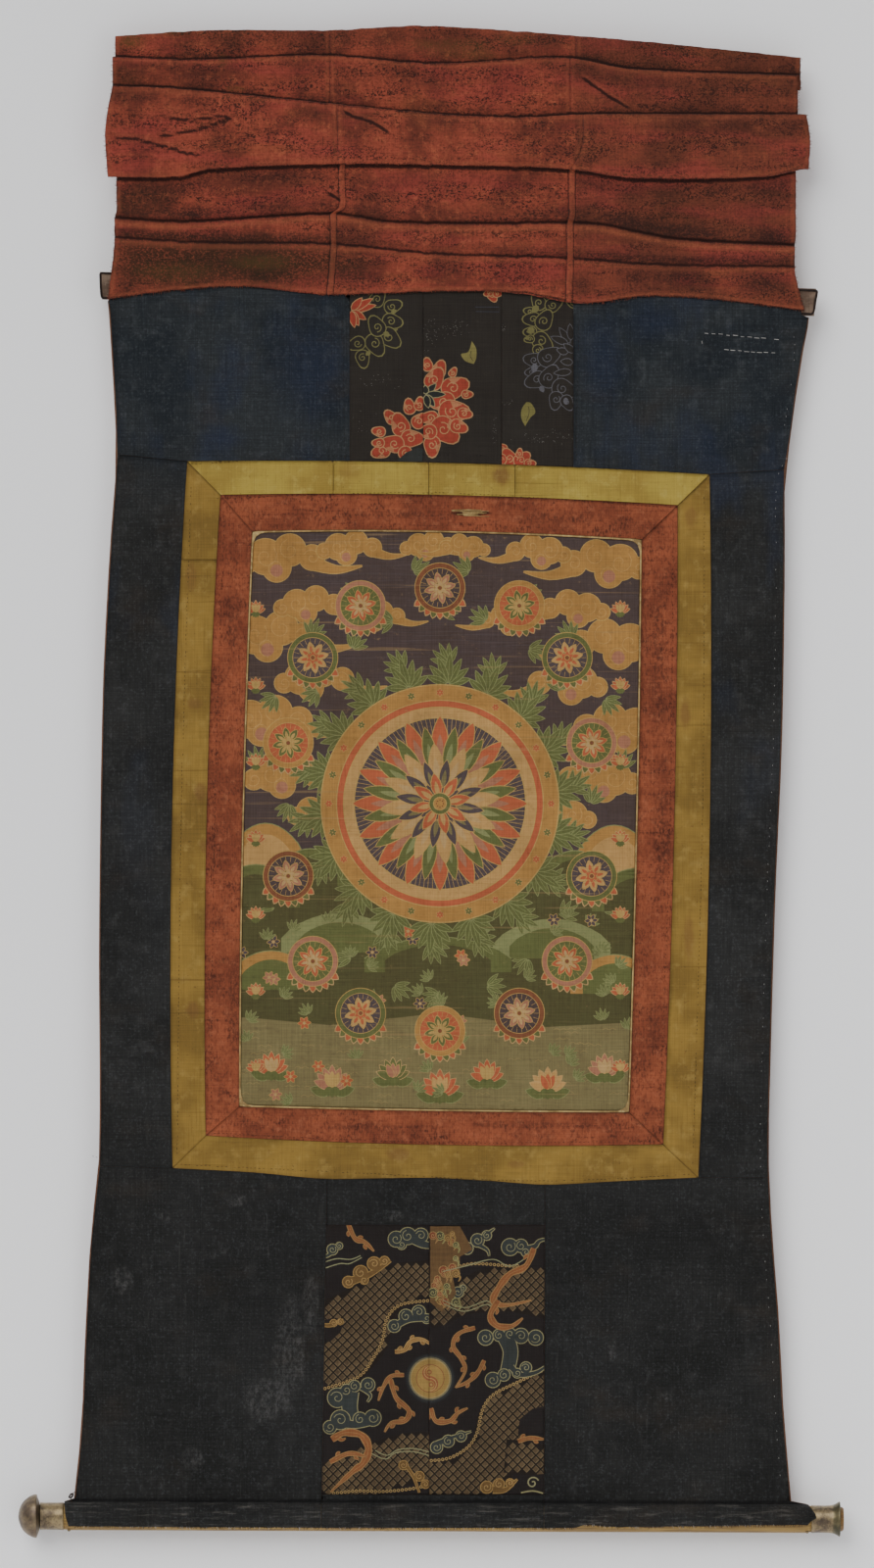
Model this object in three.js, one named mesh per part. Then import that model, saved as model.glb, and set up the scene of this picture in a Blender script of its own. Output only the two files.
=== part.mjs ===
// Thangka scroll painting, hanging open: a painting in red and yellow silk borders on a blue
// cloth mount with brocade panels, a pleated red veil above the top batten, and a roller below.
// Millimetres. +X is right and +Y is toward the wall for a viewer in front, +Z is up.
// The origin is the middle of the veil's top edge, where the hanging is held.

import * as THREE from 'three';

// Driving sizes
const CLOTH = 1.0;
const SEAM_GAP = 0.3;
const LINING_GAP = 0.6;
const LINING_SHOWS = 1.3;
const BATTEN_HEIGHT = 28;
const BATTEN_DEPTH = 7;
const BATTEN_LEFT = -365;
const BATTEN_RIGHT = 364;
const BATTEN_Z = -272;
const BATTEN_SLOPE = -0.0233;
const BATTEN_COVERED = 12;
const BATTEN_BLEND = 32;
const ROLLER_Z = -1520.6;
const ROLLER_SLOPE = -0.0038;
const ROLLER_RADIUS = 14.3;
const TENON_RADIUS = 12.6;
const FERRULE_BORE = 12.9;
const TURNED_SIDES = 32;
const PIPING_WIDTH = 1.6;
const PIPING_RISE = 0.7;
const BROCADE_TOP = -1222;
const BROCADE_BOTTOM = -1497;
const TOP_SEAMS = { first: -110, second: -35, third: 45, fourth: 118 };
const LOWER_SEAMS = { left: -134, leftLean: 5, middle: -29, right: 89, rightLean: 1 };
const VEIL_PITCH = 2.0;
const VEIL_BACK = -2.0;

// Side outlines of the body cloth, by height
const LEFT_EDGE = [
  { z: -250, x: -353.5 }, { z: -275, x: -354 }, { z: -278, x: -357 }, { z: -290, x: -356 },
  { z: -354, x: -352 }, { z: -412, x: -349 },
  { z: -453, x: -349 }, { z: -504, x: -353 }, { z: -585, x: -358 }, { z: -687, x: -362.5 },
  { z: -922, x: -366 }, { z: -1152, x: -366 }, { z: -1228, x: -374 }, { z: -1331, x: -380 },
  { z: -1407, x: -383 }, { z: -1471, x: -388 }, { z: -1497, x: -391.5 },
];
const RIGHT_EDGE = [
  { z: -260, x: 349 }, { z: -292, x: 349.5 }, { z: -296, x: 358.5 }, { z: -306, x: 357.5 },
  { z: -350, x: 349 }, { z: -412, x: 341 },
  { z: -442, x: 336 }, { z: -459, x: 334 }, { z: -555, x: 334 }, { z: -732, x: 331 },
  { z: -872, x: 325 }, { z: -1072, x: 319 }, { z: -1152, x: 317.5 }, { z: -1228, x: 321 },
  { z: -1331, x: 329 }, { z: -1382, x: 331 }, { z: -1440, x: 335 }, { z: -1497, x: 340.5 },
];
// Where the cloth lies on the roller, by degrees round from the roller's top
const WRAP = [
  { turn: 10, left: -401, right: 356 }, { turn: 30, left: -401.5, right: 359 },
  { turn: 50, left: -401, right: 362 }, { turn: 70, left: -400.5, right: 365 },
  { turn: 90, left: -399.5, right: 366 }, { turn: 106, left: -398, right: 360 },
  { turn: 122, left: -397, right: 357 },
];
// Sewn borders round the painting: outer corners and how far each side bows outward
const YELLOW = {
  topLeft: { x: -276, z: -442.6 }, topRight: { x: 257.3, z: -456 },
  bottomLeft: { x: -291, z: -1164 }, bottomRight: { x: 245.7, z: -1173.5 },
  bow: { top: 5, bottom: 5, left: 8, right: 6 },
  lowerEdge: [
    { x: -291, z: -1164 }, { x: -207, z: -1168.5 }, { x: -137, z: -1175 }, { x: -80, z: -1174.5 },
    { x: -27, z: -1174 }, { x: 40, z: -1177.5 }, { x: 89, z: -1181 }, { x: 160, z: -1177.5 },
    { x: 245.7, z: -1173.5 },
  ],
};
const YELLOW_TOP_JOINS = [-127, -29.5, 58.5];
const YELLOW_LEFT_JOIN = -543;
const RED = {
  topLeft: { x: -242, z: -477 }, topRight: { x: 224.6, z: -487.5 },
  bottomLeft: { x: -257, z: -1130.7 }, bottomRight: { x: 209.7, z: -1139.6 },
  bow: { top: 5, bottom: 5, left: 6.5, right: 4 },
};
const PICTURE = {
  topLeft: { x: -208, z: -515.7 }, topRight: { x: 186.3, z: -524 },
  bottomLeft: { x: -221.3, z: -1099.5 }, bottomRight: { x: 173.6, z: -1105.4 },
  bow: { top: 4.5, bottom: 1.5, left: 3.5, right: 2 },
};
// Fold and crease lines of the veil across its width
const VEIL_TOP = [
  { x: -350, z: -9 }, { x: -251, z: -3 }, { x: -129, z: -3 }, { x: -46, z: 1.5 },
  { x: 0, z: 0 }, { x: 87, z: -6 }, { x: 206, z: -16 }, { x: 350, z: -31 },
];
const FIRST_FOLD = [
  { x: -352, z: -30 }, { x: -268, z: -33 }, { x: -168, z: -29 }, { x: -126, z: -29 },
  { x: -21, z: -37 }, { x: 115, z: -31 }, { x: 178, z: -42 }, { x: 347, z: -49 },
];
const SECOND_FOLD = [
  { x: -352, z: -60 }, { x: -296, z: -62 }, { x: -211, z: -70 }, { x: -126, z: -79 },
  { x: -21, z: -89 }, { x: 64, z: -92 }, { x: 121, z: -89 }, { x: 347, z: -89 },
];
const THIRD_FOLD = [
  { x: -357, z: -153 }, { x: -285, z: -153 }, { x: -251, z: -145 }, { x: -126, z: -140 },
  { x: -21, z: -141 }, { x: 115, z: -145 }, { x: 178, z: -154 }, { x: 306, z: -153 },
  { x: 346, z: -145 },
];
const DEEP_CREASE = [
  { x: -349, z: -194 }, { x: -282, z: -198 }, { x: -126, z: -190 }, { x: -69, z: -198 },
  { x: 36, z: -200 }, { x: 138, z: -200 }, { x: 221, z: -215 }, { x: 343, z: -222 },
];
const LOW_CREASE = [
  { x: -350, z: -214 }, { x: -268, z: -219 }, { x: -129, z: -221 }, { x: -21, z: -231 },
  { x: 107, z: -235 }, { x: 206, z: -242 }, { x: 343, z: -244 },
];
const VEIL_HEM = [
  { x: -357, z: -278.6 }, { x: -285, z: -269 }, { x: -211, z: -265 }, { x: -131, z: -273 },
  { x: -21, z: -270 }, { x: 64, z: -271 }, { x: 138, z: -282 }, { x: 192, z: -275 },
  { x: 263, z: -278 }, { x: 354, z: -290 },
];
// Widths of the veil's three cloths at each pleat
const TOP_TIER = { left: -349.5, first: -130, second: 121, right: 350 };
const SECOND_TIER = { left: -352, first: -130, second: 115, right: 347 };
const BAND_TOP = { left: -352, first: -123, second: 128, right: 356 };
const BAND_MIDDLE = { left: -359.5, first: -122.5, second: 128, right: 359.6 };
const BAND_BOTTOM = { left: -357, first: -121.5, second: 116, right: 358 };
const SKIRT_TOP = { left: -348, first: -121.5, second: 113, right: 345 };
const SKIRT_MIDDLE = { left: -350, first: -130, second: 111, right: 344 };
const SKIRT_HEM = { left: -357, first: -134, second: 110, right: 354 };

const mix = (a, b, t) => a + (b - a) * t;
const steps = (count) => Array.from({ length: count + 1 }, (_, i) => i / count);
const smooth = (t) => {
  const u = THREE.MathUtils.clamp(t, 0, 1);
  return u * u * (3 - 2 * u);
};

// A smooth curve through a table: the value in one column, looked up by another
function curve(table, by, value) {
  const rows = [...table].sort((a, b) => a[by] - b[by]);
  const last = rows.length - 1;
  const slope = (i) => {
    const before = rows[Math.max(i - 1, 0)];
    const after = rows[Math.min(i + 1, last)];
    return (after[value] - before[value]) / (after[by] - before[by]);
  };
  return (at) => {
    const inside = THREE.MathUtils.clamp(at, rows[0][by], rows[last][by]);
    const i = Math.min(rows.findLastIndex((row) => row[by] <= inside), last - 1);
    const span = rows[i + 1][by] - rows[i][by];
    const t = (inside - rows[i][by]) / span;
    const rise = rows[i + 1][value] - rows[i][value];
    const start = slope(i) * span - rise;
    const end = rise - slope(i + 1) * span;
    return mix(rows[i][value], rows[i + 1][value], t) + t * (1 - t) * ((1 - t) * start + t * end);
  };
}

const leftEdge = curve(LEFT_EDGE, 'z', 'x');
const rightEdge = curve(RIGHT_EDGE, 'z', 'x');
const battenZ = (x) => BATTEN_Z + BATTEN_SLOPE * x;
const rollerZ = (x) => ROLLER_Z + ROLLER_SLOPE * x;

// Geometry helpers

function solid(points, faces) {
  const geometry = new THREE.BufferGeometry();
  const volume = faces.reduce((sum, [a, b, c]) => (
    sum + points[a].dot(new THREE.Vector3().crossVectors(points[b], points[c]))
  ), 0);
  const facing = volume > 0 ? faces : faces.map(([a, b, c]) => [a, c, b]);
  geometry.setFromPoints(points);
  geometry.setIndex(facing.flat());
  geometry.computeVertexNormals();
  return geometry;
}

// A closed sheet between a front and a back grid of points, both as columns of rows
function closedSheet(front, back) {
  const across = front.length;
  const down = front[0].length;
  const points = [...front.flat(), ...back.flat()];
  const at = (side, i, j) => (side * across + i) * down + j;
  const faces = [];
  const quad = (a, b, c, d) => faces.push([a, b, c], [a, c, d]);
  for (let i = 0; i < across - 1; i += 1) {
    for (let j = 0; j < down - 1; j += 1) {
      quad(at(0, i, j), at(0, i, j + 1), at(0, i + 1, j + 1), at(0, i + 1, j));
      quad(at(1, i, j), at(1, i + 1, j), at(1, i + 1, j + 1), at(1, i, j + 1));
    }
    quad(at(0, i, 0), at(0, i + 1, 0), at(1, i + 1, 0), at(1, i, 0));
    quad(at(0, i, down - 1), at(1, i, down - 1), at(1, i + 1, down - 1), at(0, i + 1, down - 1));
  }
  for (let j = 0; j < down - 1; j += 1) {
    const end = across - 1;
    quad(at(0, 0, j), at(1, 0, j), at(1, 0, j + 1), at(0, 0, j + 1));
    quad(at(0, end, j), at(0, end, j + 1), at(1, end, j + 1), at(1, end, j));
  }
  return solid(points, faces);
}

// A column of mid-thickness points moved square to its own line, seen from the side
function shifted(column, distance) {
  return column.map((point, j) => {
    const before = column[Math.max(j - 1, 0)];
    const after = column[Math.min(j + 1, column.length - 1)];
    const into = new THREE.Vector2(point.y - before.y, point.z - before.z);
    const out = new THREE.Vector2(after.y - point.y, after.z - point.z);
    const first = j === 0 ? out.clone() : into.clone();
    const second = j === column.length - 1 ? into.clone() : out.clone();
    first.normalize();
    second.normalize();
    const along = first.clone().add(second).normalize();
    const reach = distance / Math.max(along.dot(first), 0.6);
    return new THREE.Vector3(point.x, point.y + along.y * reach, point.z - along.x * reach);
  });
}

function clothSolid(columns, thickness = CLOTH) {
  const front = columns.map((column) => shifted(column, thickness / 2));
  const back = columns.map((column) => shifted(column, -thickness / 2));
  return closedSheet(front, back);
}

// Hang of the body cloth

// Slow waves left by rolling, fading out at the batten and at the roller
function hang(x, z) {
  const fromBatten = smooth((battenZ(x) - BATTEN_HEIGHT / 2 - z - 20) / 90);
  const fromRoller = smooth((z - ROLLER_Z - 30) / 70);
  const rolls = 1.7 * Math.sin(z / 78 + x / 420 + 0.4);
  const sway = 1.2 * Math.sin(x / 135 + z / 260);
  return fromBatten * fromRoller * (rolls + sway);
}

// Depth of a layer's middle: side is -1 for the front cloths and 1 for the lining
function layerY(x, z, side) {
  const rest = (LINING_GAP + CLOTH) / 2;
  const overBatten = BATTEN_DEPTH / 2 + SEAM_GAP + CLOTH / 2 - rest;
  const below = battenZ(x) - BATTEN_HEIGHT / 2 - 1 - z;
  return hang(x, z) + side * (rest + overBatten * (1 - smooth(below / BATTEN_BLEND)));
}

const layerPoint = (x, z, side) => new THREE.Vector3(x, layerY(x, z, side), z);

// The last stretch of a layer, from just above the roller round to its raw edge
function wrapPoints(x, side, edgeX) {
  const radius = ROLLER_RADIUS + SEAM_GAP + CLOTH / 2;
  const rest = (LINING_GAP + CLOTH) / 2;
  const points = [new THREE.Vector3(x, side * rest, rollerZ(x) + radius + 3)];
  for (const row of WRAP) {
    const angle = THREE.MathUtils.degToRad(row.turn);
    const onRoller = edgeX(row);
    points.push(new THREE.Vector3(
      onRoller,
      side * radius * Math.sin(angle),
      rollerZ(onRoller) + radius * Math.cos(angle),
    ));
  }
  return points;
}

// A point on a patch bounded by two height-wise edges x(z) and two width-wise edges z(x)
function patchPoint(sides, across, down) {
  let z = (sides.top(0) + sides.bottom(0)) / 2;
  let x = 0;
  for (let round = 0; round < 6; round += 1) {
    x = mix(sides.left(z), sides.right(z), across);
    z = mix(sides.top(x), sides.bottom(x), down);
  }
  return { x, z };
}

// Columns of a front cloth, drawn in by half a seam gap on each side
function panelColumns(sides, acrossSteps, downSteps, side = -1) {
  const inset = SEAM_GAP / 2;
  const inner = {
    left: (z) => sides.left(z) + inset,
    right: (z) => sides.right(z) - inset,
    top: (x) => sides.top(x) - inset,
    bottom: (x) => sides.bottom(x) + inset,
  };
  return acrossSteps.map((across) => downSteps.map((down) => {
    const { x, z } = patchPoint(inner, across, down);
    return layerPoint(x, z, side);
  }));
}

// Rows that start close together below the batten and then spread out
function battenRows(length, rest) {
  const close = [0, 25, 28, 37, 46, 60].map((drop) => drop / length);
  const start = close[close.length - 1];
  return [...close, ...steps(rest).slice(1).map((t) => mix(start, 1, t))];
}

// Borders

function frameSides(frame, width = 0) {
  const { topLeft, topRight, bottomLeft, bottomRight, bow, lowerEdge } = frame;
  const arch = (t) => 4 * t * (1 - t);
  const bowedBottom = (x) => {
    const t = (x - bottomLeft.x) / (bottomRight.x - bottomLeft.x);
    return mix(bottomLeft.z, bottomRight.z, t) - bow.bottom * arch(t);
  };
  const bottom = lowerEdge ? curve(lowerEdge, 'x', 'z') : bowedBottom;
  return {
    top: (x) => {
      const t = (x - topLeft.x) / (topRight.x - topLeft.x);
      return mix(topLeft.z, topRight.z, t) + bow.top * arch(t) + width;
    },
    bottom: (x) => bottom(x) - width,
    left: (z) => {
      const t = (z - topLeft.z) / (bottomLeft.z - topLeft.z);
      return mix(topLeft.x, bottomLeft.x, t) - bow.left * arch(t) - width;
    },
    right: (z) => {
      const t = (z - topRight.z) / (bottomRight.z - topRight.z);
      return mix(topRight.x, bottomRight.x, t) + bow.right * arch(t) + width;
    },
  };
}

// The rectangle of a frame grown by a width on all sides
function grown(frame, width) {
  const corner = (point, dx, dz) => ({ x: point.x + dx * width, z: point.z + dz * width });
  return {
    topLeft: corner(frame.topLeft, -1, 1),
    topRight: corner(frame.topRight, 1, 1),
    bottomLeft: corner(frame.bottomLeft, -1, -1),
    bottomRight: corner(frame.bottomRight, 1, -1),
    bow: frame.bow,
  };
}

// One side of a frame as points { x, z } at t from its first corner to its second
function frameRun(frame, side) {
  const sides = frameSides(frame);
  const runs = {
    top: (t) => {
      const x = mix(frame.topLeft.x, frame.topRight.x, t);
      return { x, z: sides.top(x) };
    },
    bottom: (t) => {
      const x = mix(frame.bottomLeft.x, frame.bottomRight.x, t);
      return { x, z: sides.bottom(x) };
    },
    left: (t) => {
      const z = mix(frame.topLeft.z, frame.bottomLeft.z, t);
      return { x: sides.left(z), z };
    },
    right: (t) => {
      const z = mix(frame.topRight.z, frame.bottomRight.z, t);
      return { x: sides.right(z), z };
    },
  };
  return runs[side];
}

// Where a straight join crosses a frame's top or left side, as a share of that side
const joinAcross = (frame, x) => (x - frame.topLeft.x) / (frame.topRight.x - frame.topLeft.x);
const joinDown = (frame, z) => (frame.topLeft.z - z) / (frame.topLeft.z - frame.bottomLeft.z);
const MITRE_START = { outer: 0, inner: 0 };
const MITRE_END = { outer: 1, inner: 1 };

// A strip between an outer and an inner frame, from one join or mitre on a side to another
function borderStrip(outer, inner, side, cells, from = MITRE_START, to = MITRE_END) {
  const outside = frameRun(outer, side);
  const inside = frameRun(inner, side);
  const isUpright = side === 'left' || side === 'right';
  const length = isUpright
    ? outer.topLeft.z - outer.bottomLeft.z
    : outer.topRight.x - outer.topLeft.x;
  const width = Math.hypot(outside(0).x - inside(0).x, outside(0).z - inside(0).z);
  const endInset = (SEAM_GAP / 2) * 1.5 / length;
  const edgeInset = (SEAM_GAP / 2) * 1.5 / width;
  const across = [edgeInset, 1 - edgeInset];
  const point = (t, u) => {
    const out = outside(mix(from.outer + endInset, to.outer - endInset, t));
    const into = inside(mix(from.inner + endInset, to.inner - endInset, t));
    return layerPoint(mix(out.x, into.x, u), mix(out.z, into.z, u), -1);
  };
  const columns = isUpright
    ? across.map((u) => steps(cells).map((t) => point(t, u)))
    : steps(cells).map((t) => across.map((u) => point(t, u)));
  return clothSolid(columns);
}

// The round gold line as one closed frame, a little proud of the cloths beside it
function pipingSolid(cells) {
  const outer = grown(PICTURE, PIPING_WIDTH);
  const order = [['top', false], ['right', false], ['bottom', true], ['left', true]];
  const ring = (frame) => order.flatMap(([side, backward]) => {
    const run = frameRun(frame, side);
    return steps(cells).slice(0, -1).map((t) => run(backward ? 1 - t : t));
  });
  const outside = ring(outer);
  const inside = ring(PICTURE);
  const count = outside.length;
  const points = outside.flatMap((out, i) => {
    const back = layerY(out.x, out.z, -1) + CLOTH / 2;
    const front = back - CLOTH - PIPING_RISE;
    const insideAt = inside[i];
    return [
      new THREE.Vector3(out.x, back, out.z),
      new THREE.Vector3(out.x, front, out.z),
      new THREE.Vector3(insideAt.x, front, insideAt.z),
      new THREE.Vector3(insideAt.x, back, insideAt.z),
    ];
  });
  const faces = [];
  for (let i = 0; i < count; i += 1) {
    const here = i * 4;
    const next = ((i + 1) % count) * 4;
    for (let k = 0; k < 4; k += 1) {
      const turn = (k + 1) % 4;
      faces.push([here + k, next + k, next + turn], [here + k, next + turn, here + turn]);
    }
  }
  return solid(points, faces);
}

// Horizontal seams of the blue mount, level with the yellow border's corners

function upperSeam(x) {
  if (x < YELLOW.topLeft.x) {
    const t = (YELLOW.topLeft.x - x) / (YELLOW.topLeft.x - leftEdge(YELLOW.topLeft.z));
    return YELLOW.topLeft.z + 7 * t;
  }
  if (x > YELLOW.topRight.x) {
    const t = (x - YELLOW.topRight.x) / (rightEdge(YELLOW.topRight.z) - YELLOW.topRight.x);
    return YELLOW.topRight.z + 5 * t;
  }
  return frameSides(YELLOW).top(x);
}

function lowerSeam(x) {
  if (x < YELLOW.bottomLeft.x) {
    const t = (YELLOW.bottomLeft.x - x) / (YELLOW.bottomLeft.x - leftEdge(YELLOW.bottomLeft.z));
    return YELLOW.bottomLeft.z + 2 * t;
  }
  if (x > YELLOW.bottomRight.x) {
    return YELLOW.bottomRight.z;
  }
  return frameSides(YELLOW).bottom(x);
}

// Materials

function cloth(name, colour, roughness = 0.9) {
  return new THREE.MeshStandardMaterial({ name, color: colour, roughness, metalness: 0 });
}

const MAKE = {
  blue: () => cloth('blue cotton', 0x262a30),
  brocade: () => cloth('dark brocade', 0x2a2622, 0.7),
  yellow: () => cloth('yellow silk', 0x9b8037, 0.75),
  red: () => cloth('red silk', 0x8c412d, 0.75),
  gold: () => cloth('gold piping', 0xb59a5a, 0.7),
  canvas: () => cloth('painted canvas', 0x5a4a3c),
  veil: () => cloth('red veil silk', 0x8c3e30, 0.8),
  lining: () => cloth('brown lining', 0x6b4a34),
  cover: () => cloth('tan batten cover', 0x8a6f5c),
  wood: () => new THREE.MeshStandardMaterial({
    name: 'turned wood', color: 0x967a3c, roughness: 0.65, metalness: 0,
  }),
  brass: () => new THREE.MeshStandardMaterial({
    name: 'dull brass', color: 0x7a6a50, roughness: 0.45, metalness: 0.85,
  }),
};

const group = new THREE.Group();

function add(name, geometry, material) {
  const mesh = new THREE.Mesh(geometry, material);
  mesh.name = name;
  group.add(mesh);
  return mesh;
}

// Blue mount and brocades above the painting

const frontLeft = (z) => leftEdge(z) + LINING_SHOWS;
const frontRight = (z) => rightEdge(z) - LINING_SHOWS;
const clothTop = (x) => battenZ(x) + BATTEN_COVERED;
const upright = (x) => () => x;

// Steps across a patch that put one column on a border's corner
function stepsThrough(sides, corner, before, after) {
  const at = (corner.x - sides.left(corner.z)) / (sides.right(corner.z) - sides.left(corner.z));
  return [...steps(before).slice(0, -1).map((t) => t * at), ...steps(after).map((t) => mix(at, 1, t))];
}

function addTopPanels() {
  const rows = battenRows(180, 3);
  const seams = [frontLeft, ...Object.values(TOP_SEAMS).map(upright), frontRight];
  const names = ['top_blue_left', 'top_brocade_left', 'top_brocade_middle',
    'top_brocade_right', 'top_blue_right'];
  names.forEach((name, i) => {
    const sides = { left: seams[i], right: seams[i + 1], top: clothTop, bottom: upperSeam };
    let across = steps(2);
    if (i === 0) {
      across = stepsThrough(sides, YELLOW.topLeft, 1, 3);
    }
    if (i === names.length - 1) {
      across = stepsThrough(sides, YELLOW.topRight, 3, 1);
    }
    const material = name.includes('blue') ? MAKE.blue() : MAKE.brocade();
    add(name, clothSolid(panelColumns(sides, across, rows)), material);
  });
}

function addSidePanels() {
  const border = frameSides(YELLOW);
  const left = { left: frontLeft, right: border.left, top: upperSeam, bottom: lowerSeam };
  const right = { left: border.right, right: frontRight, top: upperSeam, bottom: lowerSeam };
  add('side_blue_left', clothSolid(panelColumns(left, steps(2), steps(18))), MAKE.blue());
  add('side_blue_right', clothSolid(panelColumns(right, steps(2), steps(18))), MAKE.blue());
}

// Yellow and red borders, the piping and the painted canvas

function addBorders() {
  const piping = grown(PICTURE, PIPING_WIDTH + SEAM_GAP / 2);
  const topJoins = YELLOW_TOP_JOINS.map((x) => ({
    outer: joinAcross(YELLOW, x), inner: joinAcross(RED, x),
  }));
  [MITRE_START, ...topJoins].forEach((from, i) => {
    const to = topJoins[i] ?? MITRE_END;
    add(`yellow_top_${i + 1}`, borderStrip(YELLOW, RED, 'top', 4, from, to), MAKE.yellow());
  });
  const leftJoin = {
    outer: joinDown(YELLOW, YELLOW_LEFT_JOIN), inner: joinDown(RED, YELLOW_LEFT_JOIN),
  };
  add('yellow_left_1', borderStrip(YELLOW, RED, 'left', 3, MITRE_START, leftJoin), MAKE.yellow());
  add('yellow_left_2', borderStrip(YELLOW, RED, 'left', 16, leftJoin), MAKE.yellow());
  add('yellow_right', borderStrip(YELLOW, RED, 'right', 18), MAKE.yellow());
  add('yellow_bottom', borderStrip(YELLOW, RED, 'bottom', 26), MAKE.yellow());
  add('red_top', borderStrip(RED, piping, 'top', 14), MAKE.red());
  add('red_left', borderStrip(RED, piping, 'left', 18), MAKE.red());
  add('red_right', borderStrip(RED, piping, 'right', 18), MAKE.red());
  add('red_bottom', borderStrip(RED, piping, 'bottom', 14), MAKE.red());
  add('gold_piping', pipingSolid(16), MAKE.gold());
  const picture = frameSides(PICTURE, -SEAM_GAP / 2);
  add('painting', clothSolid(panelColumns(picture, steps(8), steps(14))), MAKE.canvas());
}

// Blue mount and brocade below the painting, carried round the front of the roller

const leftSeamX = (z) => LOWER_SEAMS.left + LOWER_SEAMS.leftLean * (z - BROCADE_TOP) / 300;
const rightSeamX = (z) => LOWER_SEAMS.right + LOWER_SEAMS.rightLean * (z - BROCADE_TOP) / 300;
const rollerLine = (x) => rollerZ(x) + ROLLER_RADIUS + SEAM_GAP + CLOTH / 2 + 3;

// A cloth that runs from a seam down to the roller and round it; ends gives its two wrap edges
function wrappedColumns(sides, acrossSteps, downSteps, ends, side) {
  const inset = side < 0 ? SEAM_GAP / 2 : 0;
  const inner = {
    left: (z) => sides.left(z) + inset,
    right: (z) => sides.right(z) - inset,
    top: (x) => sides.top(x) - inset,
    bottom: rollerLine,
  };
  return acrossSteps.map((across) => {
    const hanging = downSteps.slice(0, -1).map((down) => {
      const { x, z } = patchPoint(inner, across, down);
      return layerPoint(x, z, side);
    });
    const last = patchPoint(inner, across, 1);
    const edgeX = (row) => mix(ends.left(row) + inset, ends.right(row) - inset, across);
    return [...hanging, ...wrapPoints(last.x, side, edgeX)];
  });
}

function addLowerPanels() {
  const wrapLeft = (row) => row.left;
  const wrapRight = (row) => row.right;
  const seamLeft = () => leftSeamX(ROLLER_Z);
  const seamRight = () => rightSeamX(ROLLER_Z);
  const left = { left: frontLeft, right: leftSeamX, top: lowerSeam, bottom: rollerLine };
  const right = { left: rightSeamX, right: frontRight, top: lowerSeam, bottom: rollerLine };
  const leftAcross = stepsThrough(left, YELLOW.bottomLeft, 2, 7);
  const rightAcross = stepsThrough(right, YELLOW.bottomRight, 7, 2);
  add('lower_blue_left', clothSolid(wrappedColumns(
    left, leftAcross, steps(9), { left: wrapLeft, right: seamLeft }, -1,
  )), MAKE.blue());
  add('lower_blue_right', clothSolid(wrappedColumns(
    right, rightAcross, steps(9), { left: seamRight, right: wrapRight }, -1,
  )), MAKE.blue());

  const above = { left: leftSeamX, right: rightSeamX, top: lowerSeam, bottom: upright(BROCADE_TOP) };
  add('strip_above_brocade', clothSolid(panelColumns(above, steps(9), steps(2))), MAKE.blue());

  const middle = upright(LOWER_SEAMS.middle);
  const brocade = { top: upright(BROCADE_TOP), bottom: upright(BROCADE_BOTTOM) };
  const halfLeft = { ...brocade, left: leftSeamX, right: middle };
  const halfRight = { ...brocade, left: middle, right: rightSeamX };
  add('lower_brocade_left', clothSolid(panelColumns(halfLeft, steps(3), steps(8))), MAKE.brocade());
  add('lower_brocade_right', clothSolid(panelColumns(halfRight, steps(3), steps(8))), MAKE.brocade());

  const below = { left: leftSeamX, right: rightSeamX, top: upright(BROCADE_BOTTOM), bottom: rollerLine };
  add('strip_below_brocade', clothSolid(wrappedColumns(
    below, steps(5), steps(1), { left: seamLeft, right: seamRight }, -1,
  )), MAKE.blue());
}

// One lining behind everything, from the batten to the back of the roller
function addLining() {
  const sides = { left: leftEdge, right: rightEdge, top: clothTop, bottom: rollerLine };
  const ends = { left: (row) => row.left, right: (row) => Math.min(row.right, 359) };
  const rows = battenRows(1240, 24);
  const columns = wrappedColumns(sides, steps(11), rows, ends, 1);
  add('lining', clothSolid(columns), MAKE.lining());
}

// Flat batten in its tan cover, with uneven sewn ends
function addBatten() {
  const half = BATTEN_HEIGHT / 2;
  const bevel = 0.8;
  const shape = new THREE.Shape();
  const corner = (x, up) => [x, battenZ(x) + up];
  shape.moveTo(...corner(BATTEN_LEFT + 3, -half + bevel));
  shape.lineTo(...corner(BATTEN_RIGHT - bevel, -half + bevel));
  shape.lineTo(...corner(BATTEN_RIGHT - 1.5, 2));
  shape.lineTo(...corner(BATTEN_RIGHT + 3, half - 4));
  shape.lineTo(...corner(BATTEN_RIGHT + 1, half - bevel));
  shape.lineTo(...corner(BATTEN_LEFT + bevel, half - bevel));
  shape.closePath();
  const geometry = new THREE.ExtrudeGeometry(shape, {
    depth: BATTEN_DEPTH - 2 * bevel,
    bevelEnabled: true,
    bevelThickness: bevel,
    bevelSize: bevel,
    bevelSegments: 1,
  });
  geometry.rotateX(Math.PI / 2);
  geometry.translate(0, BATTEN_DEPTH / 2 - bevel, 0);
  add('top_batten', geometry, MAKE.cover());
}

// Veil: three cloths sewn side by side and laid in one back-and-forth pleat

const pleat = {
  top: curve(VEIL_TOP, 'x', 'z'),
  first: curve(FIRST_FOLD, 'x', 'z'),
  second: curve(SECOND_FOLD, 'x', 'z'),
  third: curve(THIRD_FOLD, 'x', 'z'),
  deep: curve(DEEP_CREASE, 'x', 'z'),
  low: curve(LOW_CREASE, 'x', 'z'),
  hem: curve(VEIL_HEM, 'x', 'z'),
};
const layerDepth = (layer) => VEIL_BACK - VEIL_PITCH * layer;

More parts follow.
